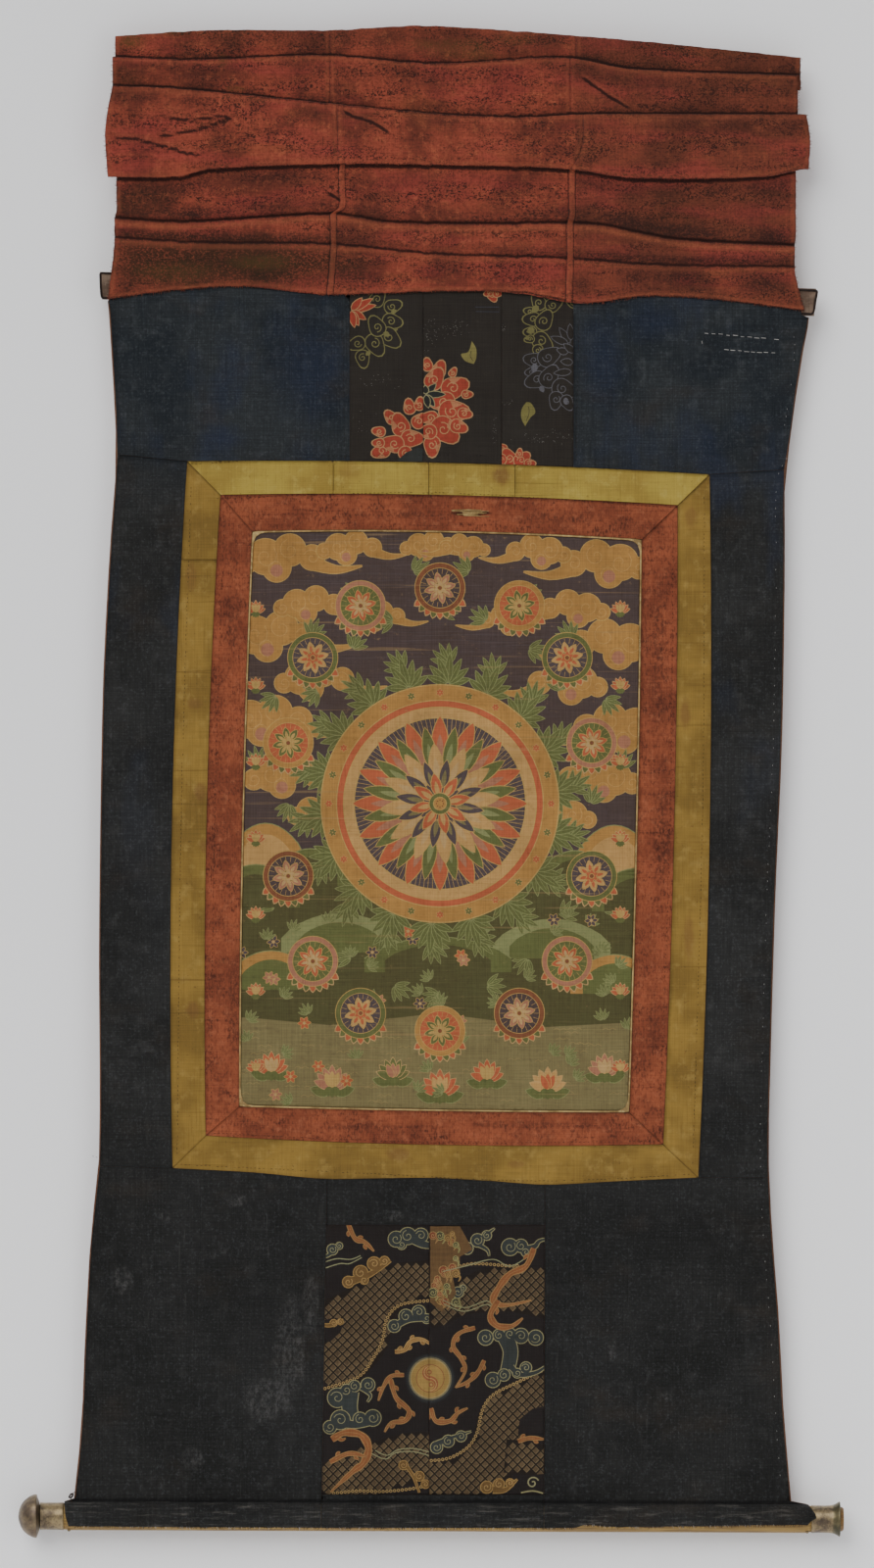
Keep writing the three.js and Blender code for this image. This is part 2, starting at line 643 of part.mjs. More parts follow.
// Half a turn from one layer to the next: end is 1 at an upper fold and -1 at a lower one
function turnPoints(line, end, layer, next, widths) {
  const radius = VEIL_PITCH / 2;
  const centre = (layerDepth(layer) + layerDepth(next)) / 2;
  const outward = Math.sign(layerDepth(next) - layerDepth(layer));
  return [0, 60, 120, 180].map((degrees) => {
    const angle = THREE.MathUtils.degToRad(degrees);
    return {
      y: centre - outward * radius * Math.cos(angle),
      z: (x) => line(x) - end * (radius + CLOTH / 2) + end * radius * Math.sin(angle),
      widths,
    };
  });
}

// The pleat from its top edge to its hem, as seen from the side
function veilPath() {
  const tuck = 16;
  const at = (line, drop, layer, puff, widths) => ({
    y: layerDepth(layer) - puff,
    z: (x) => line(x) - drop,
    widths,
  });
  const between = (from, to, t, layer, puff, widths) => ({
    y: layerDepth(layer) - puff,
    z: (x) => mix(from(x), to(x), t),
    widths,
  });
  const below = (line) => (x) => line(x) - tuck;
  const above = (line) => (x) => line(x) + tuck;
  const halfway = (a, b) => Object.fromEntries(
    Object.keys(a).map((key) => [key, (a[key] + b[key]) / 2]),
  );
  return [
    at(pleat.top, 0, 0, 0, TOP_TIER),
    between(pleat.top, pleat.first, 0.5, 0, 0.6, TOP_TIER),
    ...turnPoints(below(pleat.first), -1, 0, 1, TOP_TIER),
    ...turnPoints(pleat.first, 1, 1, 2, SECOND_TIER),
    between(pleat.first, pleat.second, 0.35, 2, 0.9, SECOND_TIER),
    between(pleat.first, pleat.second, 0.7, 2, 0.6, SECOND_TIER),
    ...turnPoints(below(pleat.second), -1, 2, 3, SECOND_TIER),
    ...turnPoints(pleat.second, 1, 3, 4, BAND_TOP),
    between(pleat.second, pleat.third, 0.2, 4, 1.6, halfway(BAND_TOP, BAND_MIDDLE)),
    between(pleat.second, pleat.third, 0.5, 4, 2.4, BAND_MIDDLE),
    between(pleat.second, pleat.third, 0.8, 4, 1.6, halfway(BAND_MIDDLE, BAND_BOTTOM)),
    ...turnPoints(pleat.third, -1, 4, 3, BAND_BOTTOM),
    ...turnPoints(above(pleat.third), 1, 3, 2, SKIRT_TOP),
    at(pleat.third, 3, 2, 0, SKIRT_TOP),
    between(pleat.third, pleat.deep, 0.5, 2, 0.8, SKIRT_TOP),
    at(pleat.deep, -6, 2, 1.6, SKIRT_TOP),
    at(pleat.deep, 0, 2, -0.7, SKIRT_MIDDLE),
    at(pleat.deep, 6, 2, 1.0, SKIRT_MIDDLE),
    at(pleat.low, -5, 2, 0.9, SKIRT_MIDDLE),
    at(pleat.low, 0, 2, -0.5, SKIRT_MIDDLE),
    at(pleat.low, 6, 2, 0.7, SKIRT_MIDDLE),
    between(pleat.low, pleat.hem, 0.6, 2, 0.2, halfway(SKIRT_MIDDLE, SKIRT_HEM)),
    at(pleat.hem, 0, 2, 0, SKIRT_HEM),
  ];
}

function addVeil() {
  const path = veilPath();
  const ripple = (x) => -0.7 * (1 + Math.sin(x / 74 + 1.1));
  const cloths = [['veil_left', 'left', 'first'], ['veil_middle', 'first', 'second'],
    ['veil_right', 'second', 'right']];
  cloths.forEach(([name, from, to]) => {
    const start = TOP_TIER[from];
    const end = TOP_TIER[to];
    const columns = steps(6).map((t) => path.map((station) => {
      const nominal = mix(start, end, t);
      const gap = SEAM_GAP / 2;
      const x = mix(station.widths[from] + gap, station.widths[to] - gap, t);
      return new THREE.Vector3(x, station.y + ripple(nominal), station.z(nominal));
    }));
    add(name, clothSolid(columns), MAKE.veil());
  });
}

// Roller, ferrules and knob, turned about the roller's axis

function turned(name, profile, material) {
  const points = profile.map(([along, radius]) => new THREE.Vector2(radius, along));
  const geometry = new THREE.LatheGeometry(points, TURNED_SIDES);
  geometry.rotateZ(-Math.PI / 2);
  const mesh = add(name, geometry, material);
  mesh.position.z = ROLLER_Z;
  mesh.rotation.y = -ROLLER_SLOPE;
}

function addRoller() {
  const shoulderLeft = -401.7;
  const shoulderRight = 360.7;
  const knobFace = -426.3;
  const woodEnd = 394;
  turned('roller', [
    [knobFace + 1, 0], [knobFace + 1, TENON_RADIUS],
    [shoulderLeft, TENON_RADIUS], [shoulderLeft, ROLLER_RADIUS],
    [-150, ROLLER_RADIUS], [120, ROLLER_RADIUS],
    [shoulderRight, ROLLER_RADIUS], [shoulderRight, TENON_RADIUS],
    [woodEnd - 1.5, TENON_RADIUS], [woodEnd, TENON_RADIUS - 1.8], [woodEnd, 0],
  ], MAKE.wood());

  const collar = shoulderLeft - SEAM_GAP;
  turned('ferrule_left', [
    [knobFace + SEAM_GAP, FERRULE_BORE], [knobFace + SEAM_GAP, 14.3],
    [knobFace + 3, 13.9], [collar - 4, 14.0], [collar, 14.2], [collar, FERRULE_BORE],
    [knobFace + SEAM_GAP, FERRULE_BORE],
  ], MAKE.brass());

  const start = shoulderRight + SEAM_GAP;
  turned('ferrule_right', [
    [start, FERRULE_BORE], [start, 14.2], [start + 3, 13.9], [start + 20, 14.1],
    [start + 24, 15.2], [start + 28.5, 18.2], [start + 29.6, 17.2], [start + 25.5, 14.0],
    [start + 24, FERRULE_BORE], [start, FERRULE_BORE],
  ], MAKE.brass());

  const tip = -448.4;
  turned('knob_left', [
    [tip, 0], [tip + 0.6, 5], [tip + 2.2, 10.2], [tip + 5, 15], [tip + 9, 18.9],
    [tip + 13.5, 21.4], [tip + 17, 22.6], [tip + 18.8, 22.5], [tip + 19.4, 21],
    [tip + 20.2, 17.5], [knobFace, 14.6], [knobFace, 0],
  ], MAKE.brass());
}

addVeil();
addBatten();
addTopPanels();
addSidePanels();
addBorders();
addLowerPanels();
addLining();
addRoller();

export default group;
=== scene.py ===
"""Looks of a hanging thangka scroll painting: worn silks, brocades, painted canvas, wood and brass.

Sizes are in millimetres until a mesh is made. Front view: +X right, +Z up, -Y toward the viewer.
"""
import math
import random

import bmesh
import bpy
import numpy as np
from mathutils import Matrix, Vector, noise
from mathutils.bvhtree import BVHTree
from mathutils.geometry import delaunay_2d_cdt


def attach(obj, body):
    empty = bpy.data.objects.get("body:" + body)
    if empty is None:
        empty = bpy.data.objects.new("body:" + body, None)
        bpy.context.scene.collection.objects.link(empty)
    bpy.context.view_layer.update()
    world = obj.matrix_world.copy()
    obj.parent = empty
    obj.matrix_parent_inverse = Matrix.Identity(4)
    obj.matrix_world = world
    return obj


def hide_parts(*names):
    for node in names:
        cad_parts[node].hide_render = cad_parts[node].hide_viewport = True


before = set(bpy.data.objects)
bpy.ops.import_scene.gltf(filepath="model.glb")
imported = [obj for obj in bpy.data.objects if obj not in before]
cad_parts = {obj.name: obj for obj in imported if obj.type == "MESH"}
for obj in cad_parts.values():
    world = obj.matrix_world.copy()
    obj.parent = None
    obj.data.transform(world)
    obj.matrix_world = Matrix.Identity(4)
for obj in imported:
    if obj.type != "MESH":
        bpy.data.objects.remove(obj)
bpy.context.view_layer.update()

MM = 0.001
# The roller and its fittings fall by this share of their length toward the right
ROLLER_FALL = 0.0038
# Points of a solid nearer than this, in metres, are one
WELD = 2e-6
# Edges of a sheet's solid that turn by more than this, in radians, are its rim
RIM_ANGLE = 0.9
# A rounder copy keeps the edges that turn by more than this, in radians
SHARP_ANGLE = 0.6
# Drawn shapes below this area, in square millimetres, are skipped
LEAST_AREA = 0.004
# Drawn points nearer than this, in millimetres, are joined
POINTS_JOIN = 0.008
# A shape narrower than this, in millimetres, isn't tried as a cover
COVER_LEAST = 2.0

# Small helpers


def srgb(red, green, blue):
    """A colour as a viewer names it, 0 to 255, made linear."""
    def linear(value):
        share = value / 255
        return share / 12.92 if share <= 0.04045 else ((share + 0.055) / 1.055) ** 2.4
    return (linear(red), linear(green), linear(blue), 1.0)


def mix(a, b, t):
    return a + (b - a) * t


def mix_colour(a, b, t):
    return tuple(mix(a[k], b[k], t) for k in range(4))


def smooth(t):
    t = min(max(t, 0.0), 1.0)
    return t * t * (3 - 2 * t)


def curve(rows):
    """A smooth curve through (at, value) rows."""
    rows = sorted(rows)
    last = len(rows) - 1

    def slope(i):
        low, high = rows[max(i - 1, 0)], rows[min(i + 1, last)]
        return (high[1] - low[1]) / (high[0] - low[0])

    def value(at):
        at = min(max(at, rows[0][0]), rows[last][0])
        i = 0
        while i < last - 1 and rows[i + 1][0] <= at:
            i += 1
        span = rows[i + 1][0] - rows[i][0]
        rise = rows[i + 1][1] - rows[i][1]
        t = (at - rows[i][0]) / span
        start = slope(i) * span - rise
        end = rise - slope(i + 1) * span
        return mix(rows[i][1], rows[i + 1][1], t) + t * (1 - t) * ((1 - t) * start + t * end)
    return value


def mesh_object(name, verts, faces, smooth_shade=True):
    """A new object from points in millimetres."""
    mesh = bpy.data.meshes.new(name)
    mesh.from_pydata([Vector(v) * MM for v in verts], [], faces)
    mesh.update()
    obj = bpy.data.objects.new(name, mesh)
    bpy.context.scene.collection.objects.link(obj)
    if smooth_shade:
        mesh.polygons.foreach_set("use_smooth", [True] * len(mesh.polygons))
    return obj


def dress(obj, material, slot_name, *nodes):
    """Gives a piece its material, and hides the solids that it stands for; slot_name is not used."""
    obj.data.materials.clear()
    obj.data.materials.append(material)
    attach(obj, "root")
    if nodes:
        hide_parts(*nodes)
    return obj


# Materials


class Shader:
    """Short calls that build one material."""

    def __init__(self, name, roughness=0.8, metallic=0.0, sheen=0.0, specular=0.3):
        self.material = bpy.data.materials.new(name)
        self.material.use_nodes = True
        self.tree = self.material.node_tree
        self.tree.nodes.clear()
        self.out = self.node("OutputMaterial")
        self.bsdf = self.node("BsdfPrincipled")
        self.tree.links.new(self.bsdf.outputs[0], self.out.inputs[0])
        self.bsdf.inputs["Roughness"].default_value = roughness
        self.bsdf.inputs["Metallic"].default_value = metallic
        self.bsdf.inputs["Specular IOR Level"].default_value = specular
        if sheen:
            self.bsdf.inputs["Sheen Weight"].default_value = sheen
            self.bsdf.inputs["Sheen Roughness"].default_value = 0.5
        self.coords = self.node("TexCoord").outputs["Object"]

    def node(self, kind):
        return self.tree.nodes.new("ShaderNode" + kind)

    def put(self, socket, value):
        if isinstance(value, bpy.types.NodeSocket):
            self.tree.links.new(value, socket)
        else:
            socket.default_value = value

    def math(self, operation, a, b):
        node = self.node("Math")
        node.operation = operation
        self.put(node.inputs[0], a)
        self.put(node.inputs[1], b)
        return node.outputs[0]

    def plus(self, a, b):
        return self.math("ADD", a, b)

    def times(self, a, b):
        return self.math("MULTIPLY", a, b)

    def most(self, a, b):
        return self.math("MAXIMUM", a, b)

    def mix(self, factor, a, b):
        node = self.node("Mix")
        node.data_type = "RGBA"
        self.put(node.inputs[0], factor)
        self.put(node.inputs[6], a)
        self.put(node.inputs[7], b)
        return node.outputs[2]

    def tint(self, colour, share, amount, tone):
        """A colour moved toward a tone, given as a viewer names it, by a share of an amount."""
        return self.mix(self.times(share, amount), colour, srgb(*tone))

    def axes(self):
        """Object coordinates X and Z, in metres."""
        node = self.node("SeparateXYZ")
        self.put(node.inputs[0], self.coords)
        return node.outputs["X"], node.outputs["Z"]

    def noise(self, sizes, detail=2.0, rough=0.55, shift=(0.0, 0.0, 0.0), warp=0.0):
        """Noise with grains of set sizes in millimetres on each axis."""
        place = self.node("Mapping")
        self.put(place.inputs["Vector"], self.coords)
        place.inputs["Scale"].default_value = [1 / (size * MM) for size in sizes]
        place.inputs["Location"].default_value = shift
        node = self.node("TexNoise")
        self.put(node.inputs["Vector"], place.outputs[0])
        node.inputs["Scale"].default_value = 1.0
        node.inputs["Detail"].default_value = detail
        node.inputs["Roughness"].default_value = rough
        node.inputs["Distortion"].default_value = warp
        return node.outputs[0]

    def band(self, value, low, high):
        """0 below low, 1 above high, smooth between; reversed when low is above high."""
        node = self.node("MapRange")
        node.interpolation_type = "SMOOTHSTEP"
        self.put(node.inputs["Value"], value)
        node.inputs["From Min"].default_value = min(low, high)
        node.inputs["From Max"].default_value = max(low, high)
        node.inputs["To Min"].default_value = 1.0 if low > high else 0.0
        node.inputs["To Max"].default_value = 0.0 if low > high else 1.0
        return node.outputs[0]

    def patches(self, sizes, low, high, *grain):
        """Noise cut to soft-edged patches."""
        return self.band(self.noise(sizes, *grain), low, high)

    def thread(self, pitch, direction):
        """Ridges of thread one pitch apart, running across X or Z."""
        node = self.node("TexWave")
        node.wave_type = "BANDS"
        node.bands_direction = direction
        self.put(node.inputs["Vector"], self.coords)
        node.inputs["Scale"].default_value = 2 * math.pi / (20 * pitch * MM)
        node.inputs["Distortion"].default_value = 1.2
        node.inputs["Detail"].default_value = 1.0
        node.inputs["Detail Scale"].default_value = 0.12
        return node.outputs["Fac"]

    def spot(self, x, z, across, high, edge, shift):
        """A soft uneven blot in front view, with 1 inside and 0 outside."""
        node = self.node("Mapping")
        self.put(node.inputs["Vector"], self.coords)
        scale = (2 / (across * MM), 0.0, 2 / (high * MM))
        node.inputs["Scale"].default_value = scale
        node.inputs["Location"].default_value = (-x * MM * scale[0], 0.0, -z * MM * scale[2])
        length = self.node("VectorMath")
        length.operation = "LENGTH"
        self.put(length.inputs[0], node.outputs[0])
        size = max(across, high) * 0.3
        ragged = self.noise((size, size, size), 4.0, 0.65, (shift, 0.0, shift))
        reach = self.plus(length.outputs["Value"], self.times(ragged, 0.9))
        return self.band(reach, 1.45, 1.45 - edge)

    def blots(self, colour, tone, edge, drift, rows, cut=None):
        """Spots over a colour; rows hold place, size and amount, and cut may break each spot up."""
        for x, z, across, high, amount in rows:
            blot = self.spot(x, z, across, high, edge, x * drift)
            if cut:
                blot = self.times(blot, cut(x, z))
            colour = self.tint(colour, blot, amount, tone)
        return colour

    def colour_layer(self, name):
        node = self.node("VertexColor")
        node.layer_name = name
        return node.outputs["Color"]

    def brighter(self, colour, gain):
        node = self.node("HueSaturation")
        self.put(node.inputs["Value"], gain)
        self.put(node.inputs["Color"], colour)
        return node.outputs[0]

    def bump(self, height, distance):
        node = self.node("Bump")
        node.inputs["Strength"].default_value = 1.0
        node.inputs["Distance"].default_value = distance * MM
        self.put(node.inputs["Height"], height)
        self.put(self.bsdf.inputs["Normal"], node.outputs[0])

    def finish(self, colour, roughness=None):
        self.put(self.bsdf.inputs["Base Color"], colour)
        if roughness is not None:
            self.put(self.bsdf.inputs["Roughness"], roughness)
        return self.material


def weave(shader, pitch, colour, depth, contrast):
    """Plain weave: thread ridges in the relief, and slubs and worn threads in the colour."""
    cross = shader.times(shader.plus(shader.thread(pitch, "X"), shader.thread(pitch, "Z")), 0.5)
    slubs = shader.plus(shader.noise((pitch * 1.4, 40, 46)), shader.noise((46, 40, pitch * 1.4)))
    shader.bump(shader.plus(cross, shader.times(slubs, 0.9)), depth)
    light = shader.times(shader.math("SUBTRACT", slubs, 1.0), contrast * 3)
    ridges = shader.times(shader.math("SUBTRACT", cross, 0.5), contrast)
    return shader.finish(shader.brighter(colour, shader.plus(1.0, shader.plus(light, ridges))))


def mottled(shader, dark, middle, light, large=90.0, small=11.0, shift=0.0):
    """Uneven fading: three shades of one dye, by slow and quick noise."""
    slow = shader.patches((large, large, large), 0.38, 0.62, 3.0, 0.6, (shift, 0.0, 0.0))
    quick = shader.patches((small, small, small), 0.5, 0.72, 4.0, 0.65, (0.0, 0.0, shift))
    base = shader.mix(slow, srgb(*middle), srgb(*dark))
    return shader.tint(base, quick, 0.6, light)


def blue_cotton():
    shader = Shader("blue cotton", roughness=0.95, sheen=0.03, specular=0.1)
    upper = mottled(shader, (33, 37, 41), (43, 46, 48), (58, 61, 63), 90, 14)
    lower = mottled(shader, (31, 31, 30), (37, 37, 36), (46, 46, 45), 110, 18, 3.0)
    beside = mottled(shader, (35, 35, 34), (43, 43, 42), (56, 56, 55), 100, 15, 5.0)
    across, up = shader.axes()
    ruffled = shader.plus(up, shader.times(shader.noise((120, 120, 120)), 0.06))
    colour = shader.mix(shader.band(ruffled, -1.14, -1.02), lower, beside)
    colour = shader.mix(shader.band(ruffled, -0.50, -0.36), colour, upper)
    dyed = shader.patches((70, 70, 130), 0.5, 0.68, 3.0, 0.6, (2.0, 0.0, 7.0))
    dyed = shader.times(dyed, shader.band(ruffled, -1.0, -0.4))
    colour = shader.tint(colour, dyed, 0.45, (36, 43, 60))
    colour = shader.blots(colour, (35, 42, 60), 0.9, 0.1, BLUE_PATCHES)
    brown = shader.patches((90, 90, 60), 0.52, 0.7, 4.0, 0.6, (8.0, 0.0, 3.0))
    colour = shader.tint(colour, brown, 0.4, (48, 42, 36))
    scuff = shader.patches((26, 26, 30), 0.6, 0.8, 6.0, 0.7, (7.0, 0.0, 2.0))
    scratch = shader.patches((5, 40, 60), 0.66, 0.8, 3.0, 0.6, (1.0, 0.0, 5.0), 1.2)
    worn = shader.times(shader.most(scuff, scratch), shader.band(up, -1.1, -1.25))
    colour = shader.tint(colour, worn, 0.22, (104, 102, 100))
    fuzz = shader.patches((2.4, 2.4, 2.4), 0.5, 0.75, 3.0, 0.6, (5.0, 0.0, 5.0))
    colour = shader.tint(colour, fuzz, 0.18, (96, 98, 102))
    colour = shader.blots(colour, (118, 116, 114), 0.5, 0.1, PALE_SCUFFS, lambda x, z: shader.patches(
        (4.5, 4.5, 7), 0.4, 0.75, 8.0, 0.8, (x * 0.1, 0.0, z * 0.1)))
    level = shader.plus(up, shader.times(across, ROLLER_FALL))
    streaks = shader.patches((34, 40, 3.4), 0.5, 0.72, 7.0, 0.75, (1.0, 0.0, 9.0))
    rubbed = shader.times(shader.band(level, -1.501, -1.508), streaks)
    colour = shader.tint(colour, rubbed, 0.5, (104, 100, 94))
    # Painted shadow: a thin dark ragged line where the hanging cloth meets its wrap on the roller.
    rim = shader.plus(level, shader.times(shader.noise((5, 20, 5), 4.0, 0.7), 0.004))
    hidden = shader.times(shader.band(rim, -1.4985, -1.502), shader.band(rim, -1.5055, -1.5025))
    colour = shader.tint(colour, hidden, 0.75, (12, 12, 13))
    return weave(shader, 1.1, colour, 0.3, 0.28)


def yellow_silk(name, dark, middle, light, shift):
    shader = Shader(name, roughness=0.78, sheen=0.03, specular=0.15)
    colour = mottled(shader, dark, middle, light, 80, 13, shift)
    for share, amount, tone in (
        (shader.patches((34, 34, 14), 0.54, 0.78, 6.0, 0.7, (2.0, 0.0, 9.0)), 0.26, (92, 66, 30)),
        (shader.patches((150, 80, 4.2), 0.62, 0.7, 3.0, 0.55, (4.0, 0.0, 4.0), 0.4), 0.4, (84, 62, 26)),
        (shader.patches((2.4, 30, 60), 0.56, 0.72, 3.0, 0.6, (9.0, 0.0, 1.0)), 0.3, (92, 68, 28)),
        (shader.patches((3.4, 3.4, 3.0), 0.64, 0.74, 3.0, 0.6, (6.0, 0.0, 2.0)), 0.5, (78, 52, 30)),
    ):
        colour = shader.tint(colour, share, amount, tone)
    colour = shader.blots(colour, (98, 62, 38), 0.6, 0.1, YELLOW_STAINS)
    return weave(shader, 0.8, colour, 0.22, 0.16)


def red_silk():
    shader = Shader("red silk", roughness=0.8, sheen=0.03, specular=0.14)
    colour = mottled(shader, (116, 60, 40), (142, 76, 50), (156, 92, 64), 50, 8)
    streak = shader.patches((110, 60, 9), 0.54, 0.7, 5.0, 0.65, (2.0, 0.0, 3.0))
    patch = shader.patches((30, 30, 22), 0.46, 0.64, 8.0, 0.78, (5.0, 0.0, 1.0))
    flecks = shader.patches((2.0, 8, 4.2), 0.47, 0.6, 4.0, 0.7, (8.0, 0.0, 3.0))
    dirty = shader.most(streak, patch)
    rubbed = shader.patches((46, 30, 20), 0.58, 0.75, 5.0, 0.7, (3.0, 0.0, 8.0))
    for share, amount, tone in (
        (shader.times(dirty, flecks), 0.8, (44, 22, 18)), (dirty, 0.26, (72, 36, 27)),
        (flecks, 0.34, (74, 36, 27)), (rubbed, 0.3, (146, 92, 62)),
    ):
        colour = shader.tint(colour, share, amount, tone)
    colour = shader.blots(colour, (52, 28, 22), 0.8, 0.1, RED_STAINS, lambda x, z: shader.patches(
        (3.2, 8, 5.0), 0.4, 0.62, 4.0, 0.7, (x, 0.0, z)))
    tear = shader.spot(14, -495.6, 44, 7, 0.3, 3.0)
    colour = shader.tint(colour, tear, 0.9, (44, 22, 16))
    return weave(shader, 0.8, colour, 0.22, 0.2)


def veil_silk():
    shader = Shader("red veil silk", roughness=0.74, sheen=0.08, specular=0.16)
    colour = mottled(shader, (102, 47, 33), (140, 65, 47), (162, 86, 58), 60, 8)
    across, _ = shader.axes()
    # The vertex layer's three parts: dark lines along folds, seams and sides (painted crease shade with
    # soil), painted highlights on fold ridges with pale threads, and painted shade beside the folds.
    parts = shader.node("SeparateColor")
    shader.put(parts.inputs[0], shader.colour_layer("WearAndPaintedLight"))
    shade_and_soil_lines, edge, shade = parts.outputs[:3]
    orange = shader.patches((60, 40, 22), 0.54, 0.72, 4.0, 0.6, (9.0, 0.0, 5.0))
    crimson = shader.patches((130, 60, 36), 0.48, 0.66, 3.0, 0.6, (1.0, 0.0, 7.0))
    zones = shader.most(shader.patches((90, 60, 18), 0.4, 0.58, 5.0, 0.7, (6.0, 0.0, 2.0)), shade)
    figure = shader.patches((4.4, 40, 3.4), 0.46, 0.56, 2.0, 0.5, (0.0, 0.0, 8.0), 1.6)
    grit = shader.patches((2.1, 20, 1.6), 0.4, 0.54, 3.0, 0.7)
    specks = shader.patches((2.6, 20, 2.1), 0.47, 0.62, 4.0, 0.75, (0.0, 0.0, 4.0))

    def gritty(least):
        return shader.plus(least, shader.times(grit, 1 - least))

    # Tones of the dye, then the dark figure heavier where painted shade lies, and the painted shade itself.
    for share, amount, tone in (
        (shader.band(across, 0.116, 0.124), 0.5, (86, 46, 30)), (orange, 0.3, (132, 74, 44)),
        (crimson, 0.5, (142, 54, 50)), (shader.times(shader.times(figure, zones), grit), 0.95, (38, 18, 13)),
        (specks, 0.44, (60, 28, 21)), (shader.times(shade, gritty(0.5)), 1.0, (46, 22, 16)),
    ):
        colour = shader.tint(colour, share, amount, tone)
    colour = shader.blots(colour, (44, 29, 14), 0.8, 0.03, VEIL_SOOT, lambda x, z: gritty(0.45))
    colour = shader.blots(colour, (78, 60, 26), 0.8, 0.07, VEIL_MOULD, lambda x, z: gritty(0.35))
    # Painted highlight on fold ridges and lips, with pale worn threads.
    colour = shader.tint(colour, shader.times(edge, gritty(0.3)), 0.5, (154, 84, 56))
    # Dark lines along folds, seams and sides: painted crease shade with soil.
    ragged = shader.times(shader.noise((3.2, 20, 2.6), 6.0, 0.8), 1.5)
    lines = shader.band(shader.plus(shade_and_soil_lines, ragged), 1.05, 1.6)
    colour = shader.tint(colour, lines, 0.92, (36, 16, 12))
    return weave(shader, 0.7, colour, 0.22, 0.2)


def brown_lining():
    shader = Shader("brown lining", roughness=0.9, sheen=0.1, specular=0.2)
    colour = mottled(shader, (88, 58, 42), (108, 74, 54), (128, 94, 70), 150, 20)
    damp = shader.patches((160, 160, 120), 0.56, 0.62, 6.0, 0.6, (4.0, 0.0, 6.0))
    colour = shader.tint(colour, damp, 0.3, (78, 54, 40))
    rolls = shader.patches((300, 100, 12), 0.58, 0.7, 3.0, 0.5, (1.0, 0.0, 7.0))
    colour = shader.tint(colour, rolls, 0.3, (136, 104, 78))
    return weave(shader, 1.2, colour, 0.3, 0.2)


def tan_cover():
    shader = Shader("tan batten cover", roughness=0.88, sheen=0.1, specular=0.2)
    colour = mottled(shader, (88, 70, 58), (124, 104, 88), (146, 126, 108), 20, 5)
    return weave(shader, 0.9, colour, 0.3, 0.22)


def strand(name, tones, large, small, grain, depth, rough=0.55, **looks):
    """Thread or cord: mottled dye over a fine twist."""
    shader = Shader(name, **looks)
    shader.bump(shader.noise((grain, grain, grain), 2.0, rough), depth)
    return shader.finish(mottled(shader, *tones, large, small))


def figured(name, roughness, pitch, wear, wear_colour, glaze, glazed, creases=0.0):
    """A patterned cloth: its own colours from the Design layer, under weave, age and wear."""
    shader = Shader(name, roughness=roughness, sheen=0.03, specular=0.14)
    fade = shader.noise((46, 46, 46), 5.0, 0.65)
    colour = shader.brighter(shader.colour_layer("Design"), shader.plus(0.5, shader.times(fade, 0.8)))
    colour = shader.mix(glazed, colour, srgb(*glaze))
    grime = shader.patches((6, 6, 5), 0.5, 0.75, 6.0, 0.7, (4.0, 0.0, 1.0))
    colour = shader.tint(colour, grime, 0.3, (44, 36, 28))
    rub = shader.patches((9, 9, 7), 0.58, 0.74, 8.0, 0.75, (2.0, 0.0, 6.0))
    colour = shader.tint(colour, rub, wear, wear_colour)
    if creases:
        lines = shader.patches((170, 90, 3.4), 0.62, 0.7, 3.0, 0.5, (3.0, 0.0, 2.0), 0.5)
        colour = shader.tint(colour, lines, creases, wear_colour)
    return weave(shader, pitch, colour, 0.2, 0.2)


def turned_wood():
    shader = Shader("turned wood", roughness=0.62, specular=0.35)
    grain = shader.noise((70, 2.2, 2.2), 5.0, 0.65, (0.0, 0.0, 0.0), 0.6)
    colour = shader.mix(shader.band(grain, 0.35, 0.7), srgb(150, 121, 62), srgb(98, 74, 38))
    colour = shader.tint(colour, shader.patches((30, 9, 9), 0.58, 0.75, 5.0, 0.7), 0.5, (66, 50, 30))
    across, _ = shader.axes()
    colour = shader.tint(colour, shader.band(across, 0.376, 0.378), 0.5, (104, 66, 38))
    shader.bump(grain, 0.25)
    return shader.finish(colour)


def old_brass():
    shader = Shader("tarnished brass", metallic=0.85, specular=0.5)
    tarnish = shader.noise((16, 12, 12), 6.0, 0.65)
    colour = shader.mix(shader.band(tarnish, 0.36, 0.66), srgb(150, 132, 98), srgb(84, 73, 62))
    across, _ = shader.axes()
    for share, amount, tone in (
        (shader.patches((1.6, 3.2, 3.2), 0.46, 0.66, 4.0, 0.65, (3.0, 0.0, 0.0)), 0.4, (58, 50, 42)),
        (shader.patches((7, 7, 7), 0.6, 0.74, 6.0, 0.7, (6.0, 1.0, 0.0)), 0.3, (62, 70, 48)),
        (shader.band(across, 0.3815, 0.3845), 0.6, (52, 58, 40)),
        (shader.band(across, -0.4265, -0.4285), 0.45, (96, 82, 72)),
    ):
        colour = shader.tint(colour, share, amount, tone)
    shader.bump(shader.noise((2.6, 2.6, 2.6), 5.0, 0.7), 0.22)
    return shader.finish(colour, shader.plus(0.26, shader.times(tarnish, 0.3)))


def wall_paint():
    """Pale backdrop that shows from the front alone, so it never hides the back of the work."""
    shader = Shader("pale backdrop", roughness=1.0, specular=0.0)
    either = shader.node("MixShader")
    shader.put(either.inputs[0], shader.node("NewGeometry").outputs["Backfacing"])
    shader.put(either.inputs[1], shader.bsdf.outputs[0])
    shader.put(either.inputs[2], shader.node("BsdfTransparent").outputs[0])
    shader.put(shader.out.inputs[0], either.outputs[0])
    return shader.finish(srgb(252, 252, 253))


